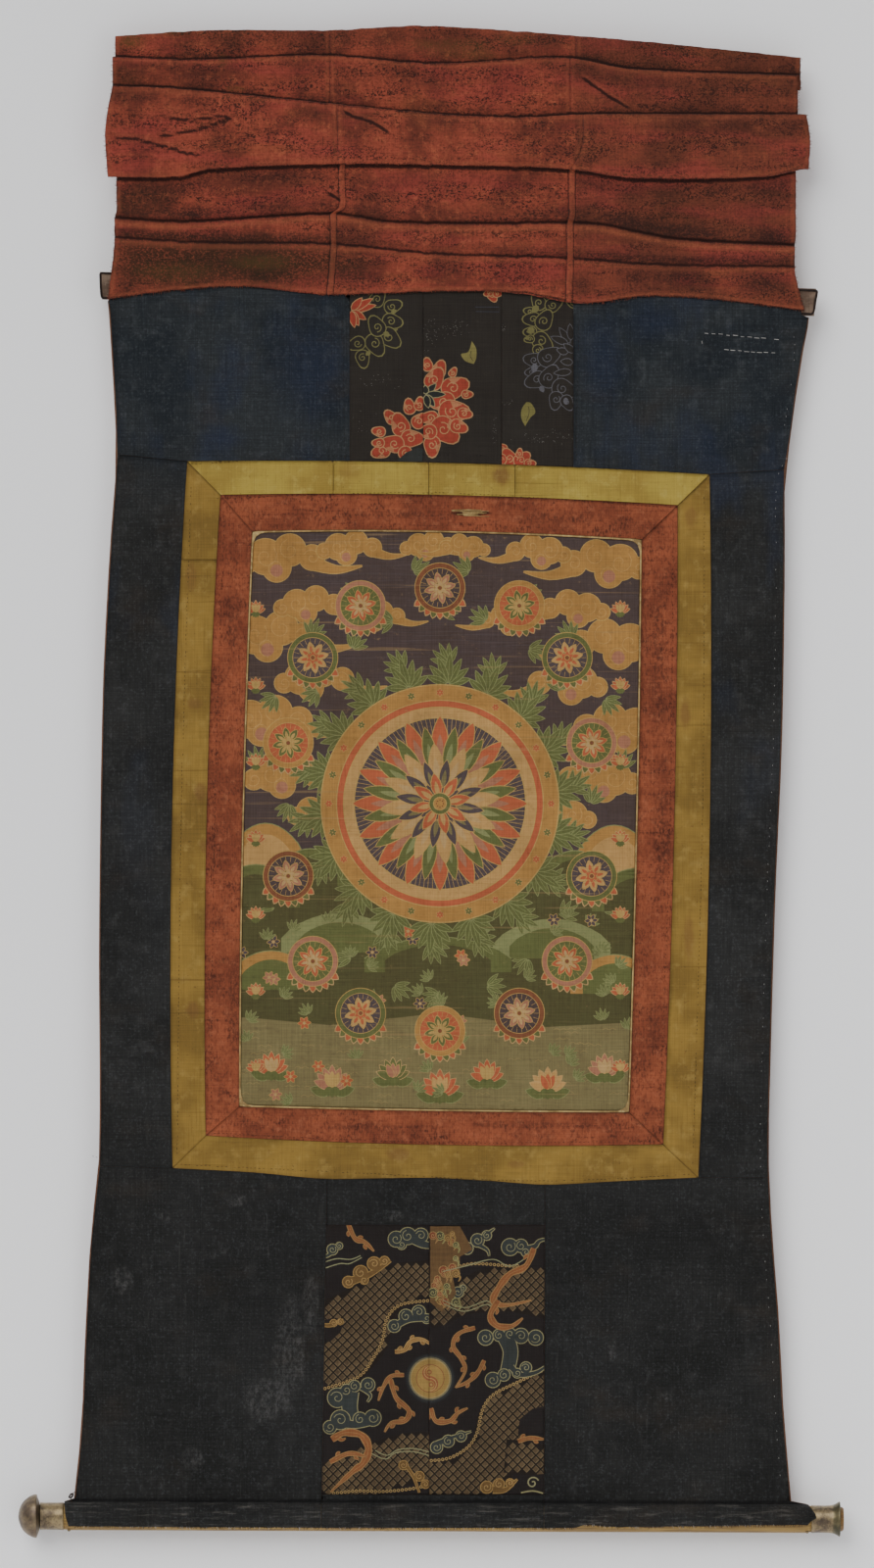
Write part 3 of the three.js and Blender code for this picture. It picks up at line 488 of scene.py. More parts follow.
# Spots on each cloth: x, z, width, height and amount
BLUE_PATCHES = [(-150, -350, 110, 150, 0.5), (146, -340, 70, 140, 0.5), (-238, -420, 60, 40, 0.5),
                (200, -300, 90, 60, 0.5)]
PALE_SCUFFS = [(-226, -1197, 26, 16, 0.3), (-298, -1213, 18, 12, 0.3), (-342, -1280, 30, 34, 0.3),
               (-172, -1350, 40, 150, 0.3), (-195, -1400, 60, 60, 0.3), (-150, -1300, 20, 80, 0.3),
               (158, -1350, 12, 26, 0.3), (214, -1396, 18, 12, 0.3), (-66, -1213, 30, 14, 0.3),
               (-270, -1460, 26, 30, 0.3)]
YELLOW_STAINS = [(45, -457, 26, 26, 0.6), (-262, -780, 16, 26, 0.4), (-258, -835, 14, 20, 0.4),
                 (-268, -690, 20, 14, 0.35), (-60, -1150, 30, 18, 0.4), (-270, -1002, 18, 22, 0.4),
                 (232, -700, 14, 40, 0.45), (60, -1160, 24, 10, 0.35), (-110, -450, 30, 26, 0.3),
                 (238, -500, 16, 30, 0.35), (236, -930, 14, 60, 0.35), (-272, -560, 14, 40, 0.3)]
RED_STAINS = [(-230, -610, 20, 120, 0.5), (-228, -1000, 20, 160, 0.5), (206, -640, 26, 200, 0.6),
              (208, -830, 22, 120, 0.7), (-60, -497, 160, 12, 0.6), (110, -500, 120, 16, 0.5),
              (-100, -1122, 200, 10, 0.5), (80, -1120, 200, 12, 0.5), (200, -1010, 20, 120, 0.4)]
VEIL_SOOT = [(-290, -238, 260, 90, 0.95), (-180, -242, 210, 76, 0.9), (-330, -180, 150, 50, 0.5),
             (-120, -8, 620, 40, 0.4), (160, -24, 420, 60, 0.35), (-340, -50, 60, 60, 0.4),
             (-120, -246, 80, 40, 0.4), (250, -190, 240, 70, 0.3), (300, -60, 160, 50, 0.25)]
VEIL_MOULD = [(-335, -14, 46, 26, 0.7), (-300, -4, 60, 10, 0.5), (-5, -20, 120, 26, 0.4),
              (60, -12, 70, 20, 0.3), (-200, -240, 90, 26, 0.45), (-226, -63, 34, 10, 0.5),
              (-290, -250, 120, 30, 0.35), (-240, -34, 16, 20, 0.4), (20, -30, 90, 16, 0.3)]


# Designs: flat shapes laid over each other, each with its colour


# Least width of a drawn line
THINNEST = 0.15


class Design:
    """Shapes in front view, in millimetres, the later ones on top."""

    def __init__(self, seed):
        self.shapes = []
        self.random = random.Random(seed)

    def fill(self, points, colour):
        self.shapes.append(([tuple(p) for p in points], colour))

    def stroke(self, points, widths, colour):
        """A line of changing width, laid as one short four-cornered shape after another."""
        if isinstance(widths, (int, float)):
            widths = [widths] * len(points)
        sides = []
        for i, point in enumerate(points):
            before, after = points[max(i - 1, 0)], points[min(i + 1, len(points) - 1)]
            along = Vector((after[0] - before[0], after[1] - before[1]))
            along.normalize()
            half = max(widths[i], THINNEST) / 2
            off = Vector((-along.y, along.x)) * half
            sides.append(((point[0] + off.x, point[1] + off.y), (point[0] - off.x, point[1] - off.y)))
        for (a, b), (c, d) in zip(sides, sides[1:]):
            self.fill([a, b, d, c], colour)

    def disc(self, x, z, radius, colour, sides=0):
        """A round spot, with more sides the larger it is where none are given."""
        sides = sides or max(8, min(40, int(radius * 2.2)))
        turns = [2 * math.pi * i / sides for i in range(sides)]
        self.fill([(x + radius * math.cos(a), z + radius * math.sin(a)) for a in turns], colour)

    def rings(self, x, z, steps, sides=0):
        for radius, colour in steps:
            self.disc(x, z, radius, colour, sides)

    def petal(self, x, z, angle, start, length, width, colour):
        """A pointed petal that reaches from start to start + length away from a centre."""
        ux, uz = math.cos(angle), math.sin(angle)
        half = []
        places = (0.0, 0.12, 0.28, 0.46, 0.64, 0.8, 0.92, 1.0)
        if length < 9:
            places = (0.0, 0.2, 0.5, 0.8, 1.0)
        elif length < 26:
            places = (0.0, 0.14, 0.36, 0.62, 0.86, 1.0)
        for t in places:
            swell = max(math.sin(math.pi * t ** 0.8), 0.0) ** 0.75
            half.append((start + length * t, width / 2 * swell))
        right = [(x + ux * r + uz * h, z + uz * r - ux * h) for r, h in half]
        left = [(x + ux * r - uz * h, z + uz * r + ux * h) for r, h in half[1:-1]]
        self.fill(right + left[::-1], colour)

    def petals(self, x, z, count, start, length, width, colours, turn=0.0, edge=0.8):
        """A ring of petals, each with an outline, a body and a lit middle."""
        outline, body, middle = colours
        for i in range(count):
            angle = turn + 2 * math.pi * i / count
            self.petal(x, z, angle, start, length, width, outline)
        for i in range(count):
            angle = turn + 2 * math.pi * i / count
            self.petal(x, z, angle, start + edge, length - 2.2 * edge, width - 2.2 * edge, body)
            if middle:
                self.petal(x, z, angle, start + edge, length * 0.6, width * 0.42, middle)

    def spiral(self, x, z, radius, turns, angle, width, colour, turn_way=1, steps=18):
        points = []
        for i in range(steps + 1):
            t = i / steps
            a = angle + turn_way * 2 * math.pi * turns * t
            r = radius * (1 - 0.86 * t)
            points.append((x + r * math.cos(a), z + r * math.sin(a)))
        self.stroke(points, width, colour)

    def cloud(self, lobes, tails, outline, body, line, edge=1.1):
        """A scrolled cloud: round lobes and tapering tails in one outline, a spiral in each lobe."""
        for colour, inset in ((outline, 0.0), (body, edge)):
            for x, z, radius in lobes:
                self.disc(x, z, radius - inset, colour)
            for points, wide, thin in tails:
                count = len(points) - 1
                widths = [mix(wide, thin, i / count) - 2 * inset for i in range(count + 1)]
                self.stroke(points, widths, colour)
        for k, (x, z, radius) in enumerate(lobes):
            way = 1 if k % 2 else -1
            self.spiral(x, z, radius * 0.66, 1.25, 0.8 + k, edge * 0.85, line, way, 14)

    def flame(self, points, wide, outline, body):
        """A wavering tongue, wide at its root and drawn to a point."""
        path = smooth_path(points, 6)
        count = len(path) - 1
        width = [wide * (0.62 + 0.3 * math.sin(math.pi * i / count) + 0.14 * math.sin(i * 0.95)) *
                 (1 - (i / count) ** 4) for i in range(count + 1)]
        self.stroke(path, [w + 1.9 for w in width], outline)
        self.stroke(path, width, body)
        self.stroke(path[2:-4], 0.5, outline)

    def scales(self, path, cell, ground, tones, seam):
        """Diamond scales in one straight lattice that fill a band; path rows are x, z and its width."""
        line = smooth_path(path, 8)
        self.stroke([row[:2] for row in line], [row[2] for row in line], ground)
        spots = np.array([row[:2] for row in line])
        reach = np.array([row[2] for row in line]) / 2 - cell * 0.3
        ends = {0: spots[0] - spots[1], len(line) - 1: spots[-1] - spots[-2]}
        half = (cell - seam) / 2
        low, high = spots.min(axis=0) - reach.max(), spots.max(axis=0) + reach.max()
        for i in range(int(low[0] * 2 / cell), int(high[0] * 2 / cell) + 1):
            for j in range(int(low[1] * 2 / cell), int(high[1] * 2 / cell) + 1):
                if (i + j) % 2:
                    continue
                x, z = i * cell / 2, j * cell / 2
                away = np.hypot(spots[:, 0] - x, spots[:, 1] - z)
                k = int(away.argmin())
                if away[k] > reach[k] or (k in ends and np.dot(ends[k], (x, z) - spots[k]) > 0):
                    continue
                tone = mix_colour(tones[0], tones[1], self.random.random())
                self.fill([(x - half, z), (x, z - half), (x + half, z), (x, z + half)],
                          mix_colour(tone, tones[2], 0.7))
                inner = half * 0.8
                x, z = x - half * 0.1, z + half * 0.08
                self.fill([(x - inner, z), (x, z - inner), (x + inner, z), (x, z + inner)], tone)

    def beads(self, path, radius, pitch, outline, body):
        """A line of small beads along a path."""
        line = smooth_path(path, 8)
        run = 0.0
        for a, b in zip(line, line[1:]):
            step = math.dist(a, b)
            while run < step:
                x, z = mix(a[0], b[0], run / step), mix(a[1], b[1], run / step)
                self.disc(x, z, radius, outline, 8)
                self.disc(x, z, radius * 0.5, body, 6)
                run += pitch
            run -= step

    def specks(self, x, z, across, high, count, colour, size=0.8):
        """Bare threads where a woven figure has worn away."""
        for _ in range(count):
            u = x + self.random.gauss(0, across / 2.6)
            v = z + self.random.gauss(0, high / 2.6)
            a = self.random.uniform(-0.6, 0.6)
            long = self.random.uniform(0.5, 1.4) * size
            dx, dz = math.cos(a) * long, math.sin(a) * long
            self.fill([(u - dx, v - dz), (u + dz * 0.4, v - dx * 0.4),
                       (u + dx, v + dz), (u - dz * 0.4, v + dx * 0.4)], colour)


def smooth_path(points, steps):
    """Catmull-Rom points through a short list."""
    out = []
    last = len(points) - 1
    for i in range(last):
        p0, p1 = points[max(i - 1, 0)], points[i]
        p2, p3 = points[i + 1], points[min(i + 2, last)]
        for k in range(steps):
            t = k / steps
            out.append(tuple(
                0.5 * (2 * p1[n] + (p2[n] - p0[n]) * t
                       + (2 * p0[n] - 5 * p1[n] + 4 * p2[n] - p3[n]) * t * t
                       + (3 * p1[n] - p0[n] - 3 * p2[n] + p3[n]) * t ** 3)
                for n in range(len(p1))))
    out.append(tuple(points[last]))
    return out

# How the body cloth hangs, from the same named sizes as the solids

CLOTH = 1.0
LINING_GAP = 0.6
SEAM_GAP = 0.3
BATTEN_HEIGHT = 28.0
BATTEN_DEPTH = 7.0
BATTEN_BLEND = 32.0
ROLLER_RADIUS = 14.3
ROLLER_TOP_CLEAR = 3.5


def batten_z(x):
    return -272 - 0.0233 * x


def roller_z(x):
    return -1520.6 - ROLLER_FALL * x


def hang(x, z):
    from_batten = smooth((batten_z(x) - BATTEN_HEIGHT / 2 - z - 20) / 90)
    from_roller = smooth((z - roller_z(0) - 30) / 70)
    rolls = 1.7 * math.sin(z / 78 + x / 420 + 0.4)
    sway = 1.2 * math.sin(x / 135 + z / 260)
    return from_batten * from_roller * (rolls + sway)


def layer_y(x, z, side):
    """Middle of the front cloths, side -1, or of the lining, side 1."""
    rest = (LINING_GAP + CLOTH) / 2
    past_batten = BATTEN_DEPTH / 2 + SEAM_GAP + CLOTH / 2 - rest
    below = batten_z(x) - BATTEN_HEIGHT / 2 - 1 - z
    return hang(x, z) + side * (rest + past_batten * (1 - smooth(below / BATTEN_BLEND)))


def gauss(value, wide):
    return math.exp(-(value / wide) ** 2)


def fold(x, z, rows, wide, deep):
    """A soft trough along a line of (x, z) points: 1 at its middle, fading out at both ends."""
    best = 0.0
    last = len(rows) - 1
    for i in range(last):
        a, b = rows[i], rows[i + 1]
        dx, dz = b[0] - a[0], b[1] - a[1]
        t = min(max(((x - a[0]) * dx + (z - a[1]) * dz) / (dx * dx + dz * dz), 0.0), 1.0)
        away = math.hypot(x - a[0] - dx * t, z - a[1] - dz * t)
        if away <= 3 * wide:
            end = min((i + t) / 0.6, (last - i - t) / 0.6, 1.0)
            best = max(best, gauss(away, wide) * smooth(end))
    return deep * best


class Creases:
    """Creases given as rows of points, half width, and depth in millimetres (minus stands out)."""

    def __init__(self, rows):
        self.rows = []
        for points, wide, deep in rows:
            xs, zs = [p[0] for p in points], [p[1] for p in points]
            reach = 3 * wide
            box = (min(xs) - reach, max(xs) + reach, min(zs) - reach, max(zs) + reach)
            self.rows.append((points, wide, deep, box))

    def near(self, x, z, count=None):
        for points, wide, deep, (low, high, bottom, top) in self.rows[:count]:
            if low < x < high and bottom < z < top:
                yield points, wide, deep

    def depth(self, x, z, least=-math.inf):
        return sum(max(fold(x, z, *row), least) for row in self.near(x, z))


BODY_CREASES = Creases([
    ([(-250, -1105), (-234, -1108), (-117, -1113), (93, -1111), (144, -1112), (176, -1108),
      (201, -1097)], 1.8, 0.9),
    ([(-256, -1110), (-120, -1118), (93, -1117), (205, -1106)], 2.6, -0.5),
    ([(93, -1187), (160, -1196), (233, -1207)], 3.5, 0.7),
    ([(128, -1312), (170, -1316), (223, -1322)], 3.0, 0.6),
    ([(-300, -1222), (-220, -1232), (-140, -1236)], 3.5, 0.8),
    ([(92, -1216), (112, -1228), (140, -1238), (186, -1242)], 2.6, 1.1),
    ([(100, -1208), (132, -1206), (176, -1214), (236, -1220)], 2.2, 0.9),
    ([(92, -1276), (120, -1284), (150, -1300)], 3.0, 0.9),
    ([(210, -1260), (262, -1266), (310, -1262)], 3.0, 0.8),
    ([(92, -1400), (150, -1406), (216, -1398)], 3.4, 0.8),
    ([(-374, -1238), (-320, -1246), (-270, -1258)], 3.0, 0.9),
    ([(-330, -1402), (-260, -1410), (-170, -1404)], 3.4, 0.8),
    ([(-372, -1452), (-280, -1458), (-150, -1462)], 3.4, 0.9),
    ([(110, -1462), (200, -1456), (330, -1466)], 3.4, 0.9),
    ([(-140, -1500), (-60, -1502), (80, -1501)], 2.4, 0.8),
    ([(-360, -1330), (-290, -1340), (-200, -1336)], 4.0, 0.6),
    ([(-345, -700), (-300, -704), (-284, -702)], 3.0, 0.6),
    ([(-355, -905), (-300, -900), (-288, -904)], 3.0, 0.6),
    ([(250, -640), (290, -632), (330, -640)], 3.0, 0.6),
    ([(250, -980), (290, -990), (320, -984)], 3.0, 0.6),
    ([(-190, -620), (-60, -626), (60, -622), (170, -630)], 2.2, 0.45),
    ([(-60, -690), (20, -684), (40, -690)], 1.6, 0.4),
    ([(-150, -812), (-40, -806), (70, -812), (150, -806)], 2.2, 0.4),
    ([(-200, -935), (-60, -941), (100, -934)], 2.4, 0.4),
    ([(-250, -300), (-200, -305), (-140, -300)], 3.0, 0.6),
    ([(-330, -372), (-240, -380), (-150, -376)], 4.0, 0.7),
    ([(150, -350), (230, -358), (320, -352)], 4.0, 0.7),
    ([(-268, -1150), (-180, -1152), (-60, -1160)], 2.0, 0.4),
    ([(-285, -620), (-270, -750), (-272, -900)], 2.4, 0.4),
    ([(238, -560), (241, -700), (238, -860)], 2.4, 0.4),
])


def ripple_noise(x, z, size, seed=0.0):
    return noise.noise(Vector((x / size, seed, z / size)))


def body_relief(x, z):
    """Depth that all the front cloths share, so that their seams stay closed."""
    return BODY_CREASES.depth(x, z) + (
        0.35 * ripple_noise(x, z, 34) + 0.16 * ripple_noise(x * 0.5, z, 9, 4.0))


def lining_relief(x, z):
    """The lining follows the cloths in front at a small distance, with its own soft waves."""
    return BODY_CREASES.depth(x, z, 0.0) + (
        0.35 * ripple_noise(x, z, 34) + 0.5 + 0.25 * ripple_noise(x, z, 60, 9.0))


def seam_relief(x, z, away):
    """Cloth sinks into its seams and puckers beside them."""
    pucker = math.sin((x + z) / 1.9 + 3 * ripple_noise(x, z, 20))
    return 0.42 * gauss(away, 1.7) + 0.28 * gauss(away, 7.0) * pucker


def over_batten(x, z, soft):
    """Relief that presses into the batten is held off it."""
    return min(soft, 0.15) if z > batten_z(x) - 18 else soft


def front_y(x, z, away):
    soft = body_relief(x, z) + seam_relief(x, z, away)
    return layer_y(x, z, -1) + over_batten(x, z, soft)


# Outlines of the solids, and finer copies of them


def solid_mesh(node):
    """The solid's own points in millimetres, welded, and its faces."""
    mesh = bmesh.new()
    mesh.from_mesh(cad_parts[node].data)
    bmesh.ops.remove_doubles(mesh, verts=mesh.verts, dist=WELD)
    for vert in mesh.verts:
        vert.co /= MM
    mesh.normal_update()
    return mesh


def loop_through(after):
    """A closed walk through a table of each point's next one."""
    start = next(iter(after))
    loop, at = [start], after[start]
    while at != start:
        loop.append(at)
        at = after[at]
    return loop


def front_outline(node):
    """The loop round a sheet's front, seen from the front, as (x, z) points."""
    mesh = solid_mesh(node)
    front = {face for face in mesh.faces if face.normal.y < -0.5}
    after = {}
    for edge in mesh.edges:
        sides = [face for face in edge.link_faces if face in front]
        if len(sides) == 1:
            corner = next(loop for loop in sides[0].loops if loop.edge is edge)
            after[corner.vert.index] = corner.link_loop_next.vert.index
    mesh.verts.ensure_lookup_table()
    loop = [(mesh.verts[i].co.x, mesh.verts[i].co.z) for i in loop_through(after)]
    mesh.free()
    return loop if area_of(loop) > 0 else loop[::-1]


def area_of(points):
    return 0.5 * sum(a[0] * b[1] - b[0] * a[1] for a, b in zip(points, points[1:] + points[:1]))


def box_of(points):
    """Lowest and highest x, then lowest and highest z."""
    across, up = [p[0] for p in points], [p[1] for p in points]
    return min(across), max(across), min(up), max(up)


def parted(points, length):
    """The same loop with no side longer than length."""
    out = []
    for a, b in zip(points, points[1:] + points[:1]):
        count = max(1, math.ceil(math.dist(a, b) / length))
        out += [(mix(a[0], b[0], i / count), mix(a[1], b[1], i / count)) for i in range(count)]
    return out


class EdgeDistance:
    """How far a point is from a loop."""

    def __init__(self, loop):
        count = 2 * len(loop)
        self.tree = BVHTree.FromPolygons(
            [Vector((x, y, z)) for x, z in loop for y in (-1, 1)],
            [(i, i + 1, (i + 3) % count, (i + 2) % count) for i in range(0, count, 2)])

    def __call__(self, x, z):
        return self.tree.find_nearest(Vector((x, 0, z)))[3]


def fallen_in(loop, distance):
    """Points a set distance inside a loop that runs counter-clockwise."""
    out = []
    for i, point in enumerate(loop):
        before, after = loop[i - 1], loop[(i + 1) % len(loop)]
        along = Vector((after[0] - before[0], after[1] - before[1]))
        if along.length > 1e-6:
            along.normalize()
            out.append((point[0] - along.y * distance, point[1] + along.x * distance))
    return out


def held_by(shape, across, up):
    """Which of many points lie in a shape, by counting the sides that each one looks across."""
    inside = np.zeros(len(across), bool)
    for (ax, az), (bx, bz) in zip(shape, shape[1:] + shape[:1]):
        if az != bz:
            crosses = (az > up) != (bz > up)
            inside ^= crosses & (across < ax + (up - az) / (bz - az) * (bx - ax))
    return inside


def kept_inside(outline, points, distance, least):
    """The points that lie in an outline and more than a set distance from its rim."""
    inside = held_by(outline, np.array([p[0] for p in points]), np.array([p[1] for p in points]))
    return [p for p, held in zip(points, inside) if held and distance(*p) > least]


def seen(shapes):
    """The shapes that no single later shape covers."""
    across = np.array([p[0] for shape, _ in shapes for p in shape])
    up = np.array([p[1] for shape, _ in shapes for p in shape])
    sizes = np.array([len(shape) for shape, _ in shapes])
    owner = np.repeat(np.arange(len(shapes)), sizes)
    hidden = np.zeros(len(shapes), bool)
    for k, (shape, _) in enumerate(shapes):
        left, right, bottom, top = box_of(shape)
        if min(right - left, top - bottom) < COVER_LEAST:
            continue
        near = np.nonzero((owner < k) & (across > left) & (across < right) & (up > bottom) & (up < top))[0]
        if len(near):
            under = owner[near[held_by(shape, across[near], up[near])]]
            hidden |= np.bincount(under, minlength=len(shapes)) == sizes
    return [shape for shape, gone in zip(shapes, hidden) if not gone]


def triangulate(loop, inner, shapes):
    """Points, triangles and each one's top colour, for the part of the plane inside a loop."""
    points = [Vector(p) for p in loop]
    edges = [(i, (i + 1) % len(loop)) for i in range(len(loop))]
    points += [Vector(p) for p in inner]
    low_x, high_x, low_z, high_z = box_of(loop)
    used = []
    for shape, colour in shapes:
        box = box_of(shape)
        outside = box[1] < low_x or box[0] > high_x or box[3] < low_z or box[2] > high_z
        if outside or abs(area_of(shape)) < LEAST_AREA:
            continue
        used.append((shape, colour, box))
        start = len(points)
        points += [Vector(p) for p in shape]
        edges += [(start + i, start + (i + 1) % len(shape)) for i in range(len(shape))]
    verts, _, tris, _, _, _ = delaunay_2d_cdt(points, edges, [], 0, POINTS_JOIN, False)
    corners = np.array([[tuple(verts[i]) for i in tri[:3]] for tri in tris])
    across, up = corners[:, :, 0].mean(axis=1), corners[:, :, 1].mean(axis=1)
    keep = held_by(loop, across, up)
    owner = np.full(len(tris), -1)
    for k, (shape, _, (left, right, bottom, top)) in enumerate(used):
        near = np.nonzero((across > left) & (across < right) & (up > bottom) & (up < top))[0]
        if len(near):
            owner[near[held_by(shape, across[near], up[near])]] = k
    kept = [tuple(tri) for tri, inside in zip(tris, keep) if inside]
    tones = [used[k][1] if k >= 0 else None for k, inside in zip(owner, keep) if inside]
    return verts, kept, tones


def outer_loop(tris):
    """The loop of point numbers round a set of counter-clockwise triangles."""
    edges = {(a, b): True for tri in tris for a, b in zip(tri, tri[1:] + tri[:1])}
    return loop_through({a: b for (a, b) in edges if (b, a) not in edges})


def lattice(box, grid):
    """Points in offset rows over a box."""
    low_x, high_x, low_z, high_z = box
    out = []
    z, row = low_z + grid / 2, 0
    while z < high_z:
        x = low_x + grid * (0.5 if row % 2 else 1.0)
        while x < high_x:
            out.append((x, z))
            x += grid
        z += grid * 0.87
        row += 1
    return out


def figured_sheet(name, node, shapes, ground, grid):
    """A sheet with a woven or painted design: real outlines in the mesh, colours by corner."""
    outline = front_outline(node)
    rim = parted(outline, grid)
    distance = EdgeDistance(rim)
    beside = fallen_in(parted(outline, grid * 0.7), 1.0) + fallen_in(parted(outline, grid * 0.8), 2.6)
    inner = kept_inside(outline, beside, distance, 0.7)
    inner += kept_inside(outline, lattice(box_of(rim), grid), distance, 3.6)
    points, tris, tones = triangulate(rim, inner, seen(shapes))
    used = sorted({i for tri in tris for i in tri})
    number = {i: k for k, i in enumerate(used)}
    flat = [points[i] for i in used]
    faces = [tuple(number[i] for i in tri) for tri in tris]
    colours = [tone or ground for tone in tones]
    loop = outer_loop(faces)

    def hung(places, rim_numbers, side):
        return [(p.x, front_y(p.x, p.y, 0.0 if k in rim_numbers else distance(p.x, p.y))
                 + side * CLOTH / 2, p.y) for k, p in enumerate(places)]

    verts = hung(flat, set(loop), -1)
    shift = len(verts)
    back_inner = kept_inside(outline, inner[::5], distance, 4)
    back_points, back_tris, _ = triangulate([tuple(flat[i]) for i in loop], back_inner, [])
    verts += hung(back_points, range(len(loop)), 1)
    faces += [tuple(shift + i for i in tri[::-1]) for tri in back_tris]
    for k in range(len(loop)):
        after = (k + 1) % len(loop)
        faces.append((loop[after], loop[k], shift + k, shift + after))
    colours += [ground] * (len(back_tris) + len(loop))
    obj = mesh_object(name, verts, faces)
    layer = obj.data.color_attributes.new("Design", "FLOAT_COLOR", "CORNER")
    values = []
    for polygon, tone in zip(obj.data.polygons, colours):
        values += list(tone) * polygon.loop_total
    layer.data.foreach_set("color", values)
    return obj


def subdivided(name, mesh, levels, kind):
    """A new object whose mesh is a finer copy of the given one, and that copy to work on."""
    base = bpy.data.meshes.new(name + "_base")
    mesh.to_mesh(base)
    mesh.free()
    obj = bpy.data.objects.new(name, base)
    bpy.context.scene.collection.objects.link(obj)
    cut = obj.modifiers.new("cut", "SUBSURF")
    cut.subdivision_type = kind
    cut.levels = levels
    cut.render_levels = levels
    made = bpy.data.meshes.new_from_object(obj.evaluated_get(bpy.context.evaluated_depsgraph_get()))
    obj.modifiers.clear()
    obj.data = made
    bpy.data.meshes.remove(base)
    work = bmesh.new()
    work.from_mesh(made)
    work.normal_update()
    return obj, work


def shaped(obj, work):
    """Puts the worked copy, in metres by now, into the object."""
    work.to_mesh(obj.data)
    work.free()
    obj.data.polygons.foreach_set("use_smooth", [True] * len(obj.data.polygons))
    return obj

# Degrees round the roller at which the front cloths' raw edge lies, by place along it
RAW_TURN = 122.0
TURN_KEPT = 60.0
RAW_EDGE = curve([(-400, 128), (-250, 131), (-60, 130), (60, 128), (118, 126), (130, 114), (160, 122),
                  (230, 118), (300, 113), (360, 110)])


def wrapped(x, y, high, side):
    """Depth and height of a point on cloth that goes round the roller."""
    middle = ROLLER_RADIUS + SEAM_GAP + CLOTH / 2
    turn = math.degrees(math.atan2(side * y, high))
    wave = 0.22 * ripple_noise(x, turn * 0.26, 16, 3.0)
    reach = middle + math.copysign(CLOTH / 2, math.hypot(y, high) - middle) + max(wave, -0.15)
    if side < 0 and turn > TURN_KEPT:
        frayed = 2.2 * ripple_noise(x, 0, 9, 5.0) + 1.6 * ripple_noise(x, 0, 3, 8.0)
        share = (turn - TURN_KEPT) / (RAW_TURN - TURN_KEPT)
        turn = TURN_KEPT + share * (RAW_EDGE(x) + frayed - TURN_KEPT)
    angle = math.radians(turn)
    return side * reach * math.sin(angle), roller_z(x) + reach * math.cos(angle)


def plain_sheet(name, node, levels, side):
    """A finer copy of a cloth's solid: smooth hang, seams, creases, and a true round at the roller."""
    mesh = solid_mesh(node)
    bmesh.ops.join_triangles(mesh, faces=mesh.faces, cmp_seam=False, angle_face_threshold=0.6,
                             angle_shape_threshold=3.1)
    obj, work = subdivided(name, mesh, levels, "SIMPLE")
    on_rim = {vert.index for edge in work.edges
              if len(edge.link_faces) == 2 and edge.calc_face_angle(0) > RIM_ANGLE
             for vert in edge.verts}
    rim = [vert.co.copy() for vert in work.verts if vert.index in on_rim]
    near = BVHTree.FromPolygons([p + Vector((0, d, 0)) for p in rim for d in (0, 0.01, 0.02)],
                                [(3 * i, 3 * i + 1, 3 * i + 2) for i in range(len(rim))])
    for vert in work.verts:
        x, y, z = vert.co
        high = z - roller_z(x)
        past = high - ROLLER_RADIUS - ROLLER_TOP_CLEAR
        if past < 0:
            # Between the flat part and the wood the solid's own outward turn stays
            if high <= ROLLER_RADIUS * 0.985 or abs(y) >= 5:
                vert.co.y, vert.co.z = wrapped(x, y, high, side)
            continue
        away = 0.0 if vert.index in on_rim else near.find_nearest(vert.co)[3]
        if side < 0:
            move = over_batten(x, z, (body_relief(x, z) + seam_relief(x, z, away)) * smooth(past / 25))
        else:
            move = (lining_relief(x, z) - 0.2 * gauss(away, 2)) * smooth(past / 25)
        middle = layer_y(x, z, side)
        vert.co.y = middle + (-CLOTH / 2 if y < middle else CLOTH / 2) + move
    for vert in work.verts:
        vert.co *= MM
    bmesh.ops.triangulate(work, faces=work.faces)
    return shaped(obj, work)


def finer(name, node, levels, dents, size, hard=0.75):
    """A rounder copy of a turned or shaped solid, with small dents."""
    mesh = solid_mesh(node)
    bmesh.ops.join_triangles(mesh, faces=mesh.faces, cmp_seam=False, angle_face_threshold=0.35,
                             angle_shape_threshold=1.2)
    crease = mesh.edges.layers.float.new("crease_edge")
    for edge in mesh.edges:
        if len(edge.link_faces) == 2 and edge.calc_face_angle(0) > SHARP_ANGLE:
            edge[crease] = hard
    obj, work = subdivided(name, mesh, levels, "CATMULL_CLARK")
    for vert in work.verts:
        push = dents * noise.noise(vert.co / size) + dents * 0.4 * noise.noise(vert.co / (size * 0.3))
        vert.co = (vert.co + vert.normal * push) * MM
    return shaped(obj, work)


# Threads and cords


class Bundle:
    """Many small tubes gathered in one mesh."""

    def __init__(self):
        self.verts = []
        self.faces = []

    def tube(self, path, radius, sides=6):
        """A thread along a path; radius is one number, or one for each point."""
        last = len(path) - 1
        radii = [radius] * len(path) if isinstance(radius, (int, float)) else radius
        start = len(self.verts)
        up = Vector((0.13, 0.35, 0.93)).normalized()
        for i, point in enumerate(path):
            ahead = Vector(path[min(i + 1, last)]) - Vector(path[max(i - 1, 0)])
            ahead.normalize()
            side = ahead.cross(up)
            if side.length < 0.05:
                side = ahead.cross(Vector((1, 0, 0)))
            side.normalize()
            other = side.cross(ahead)
            for k in range(sides):
                a = 2 * math.pi * k / sides
                self.verts.append(Vector(point) + (side * math.cos(a) + other * math.sin(a)) * radii[i])
        for i in range(last):
            for k in range(sides):
                a, b = start + i * sides + k, start + i * sides + (k + 1) % sides
                self.faces.append((a, b, b + sides, a + sides))
        self.faces.append(tuple(start + k for k in range(sides))[::-1])
        self.faces.append(tuple(start + last * sides + k for k in range(sides)))

    def piece(self, name, material, slot_name):
        return dress(mesh_object(name, self.verts, self.faces), material, slot_name)

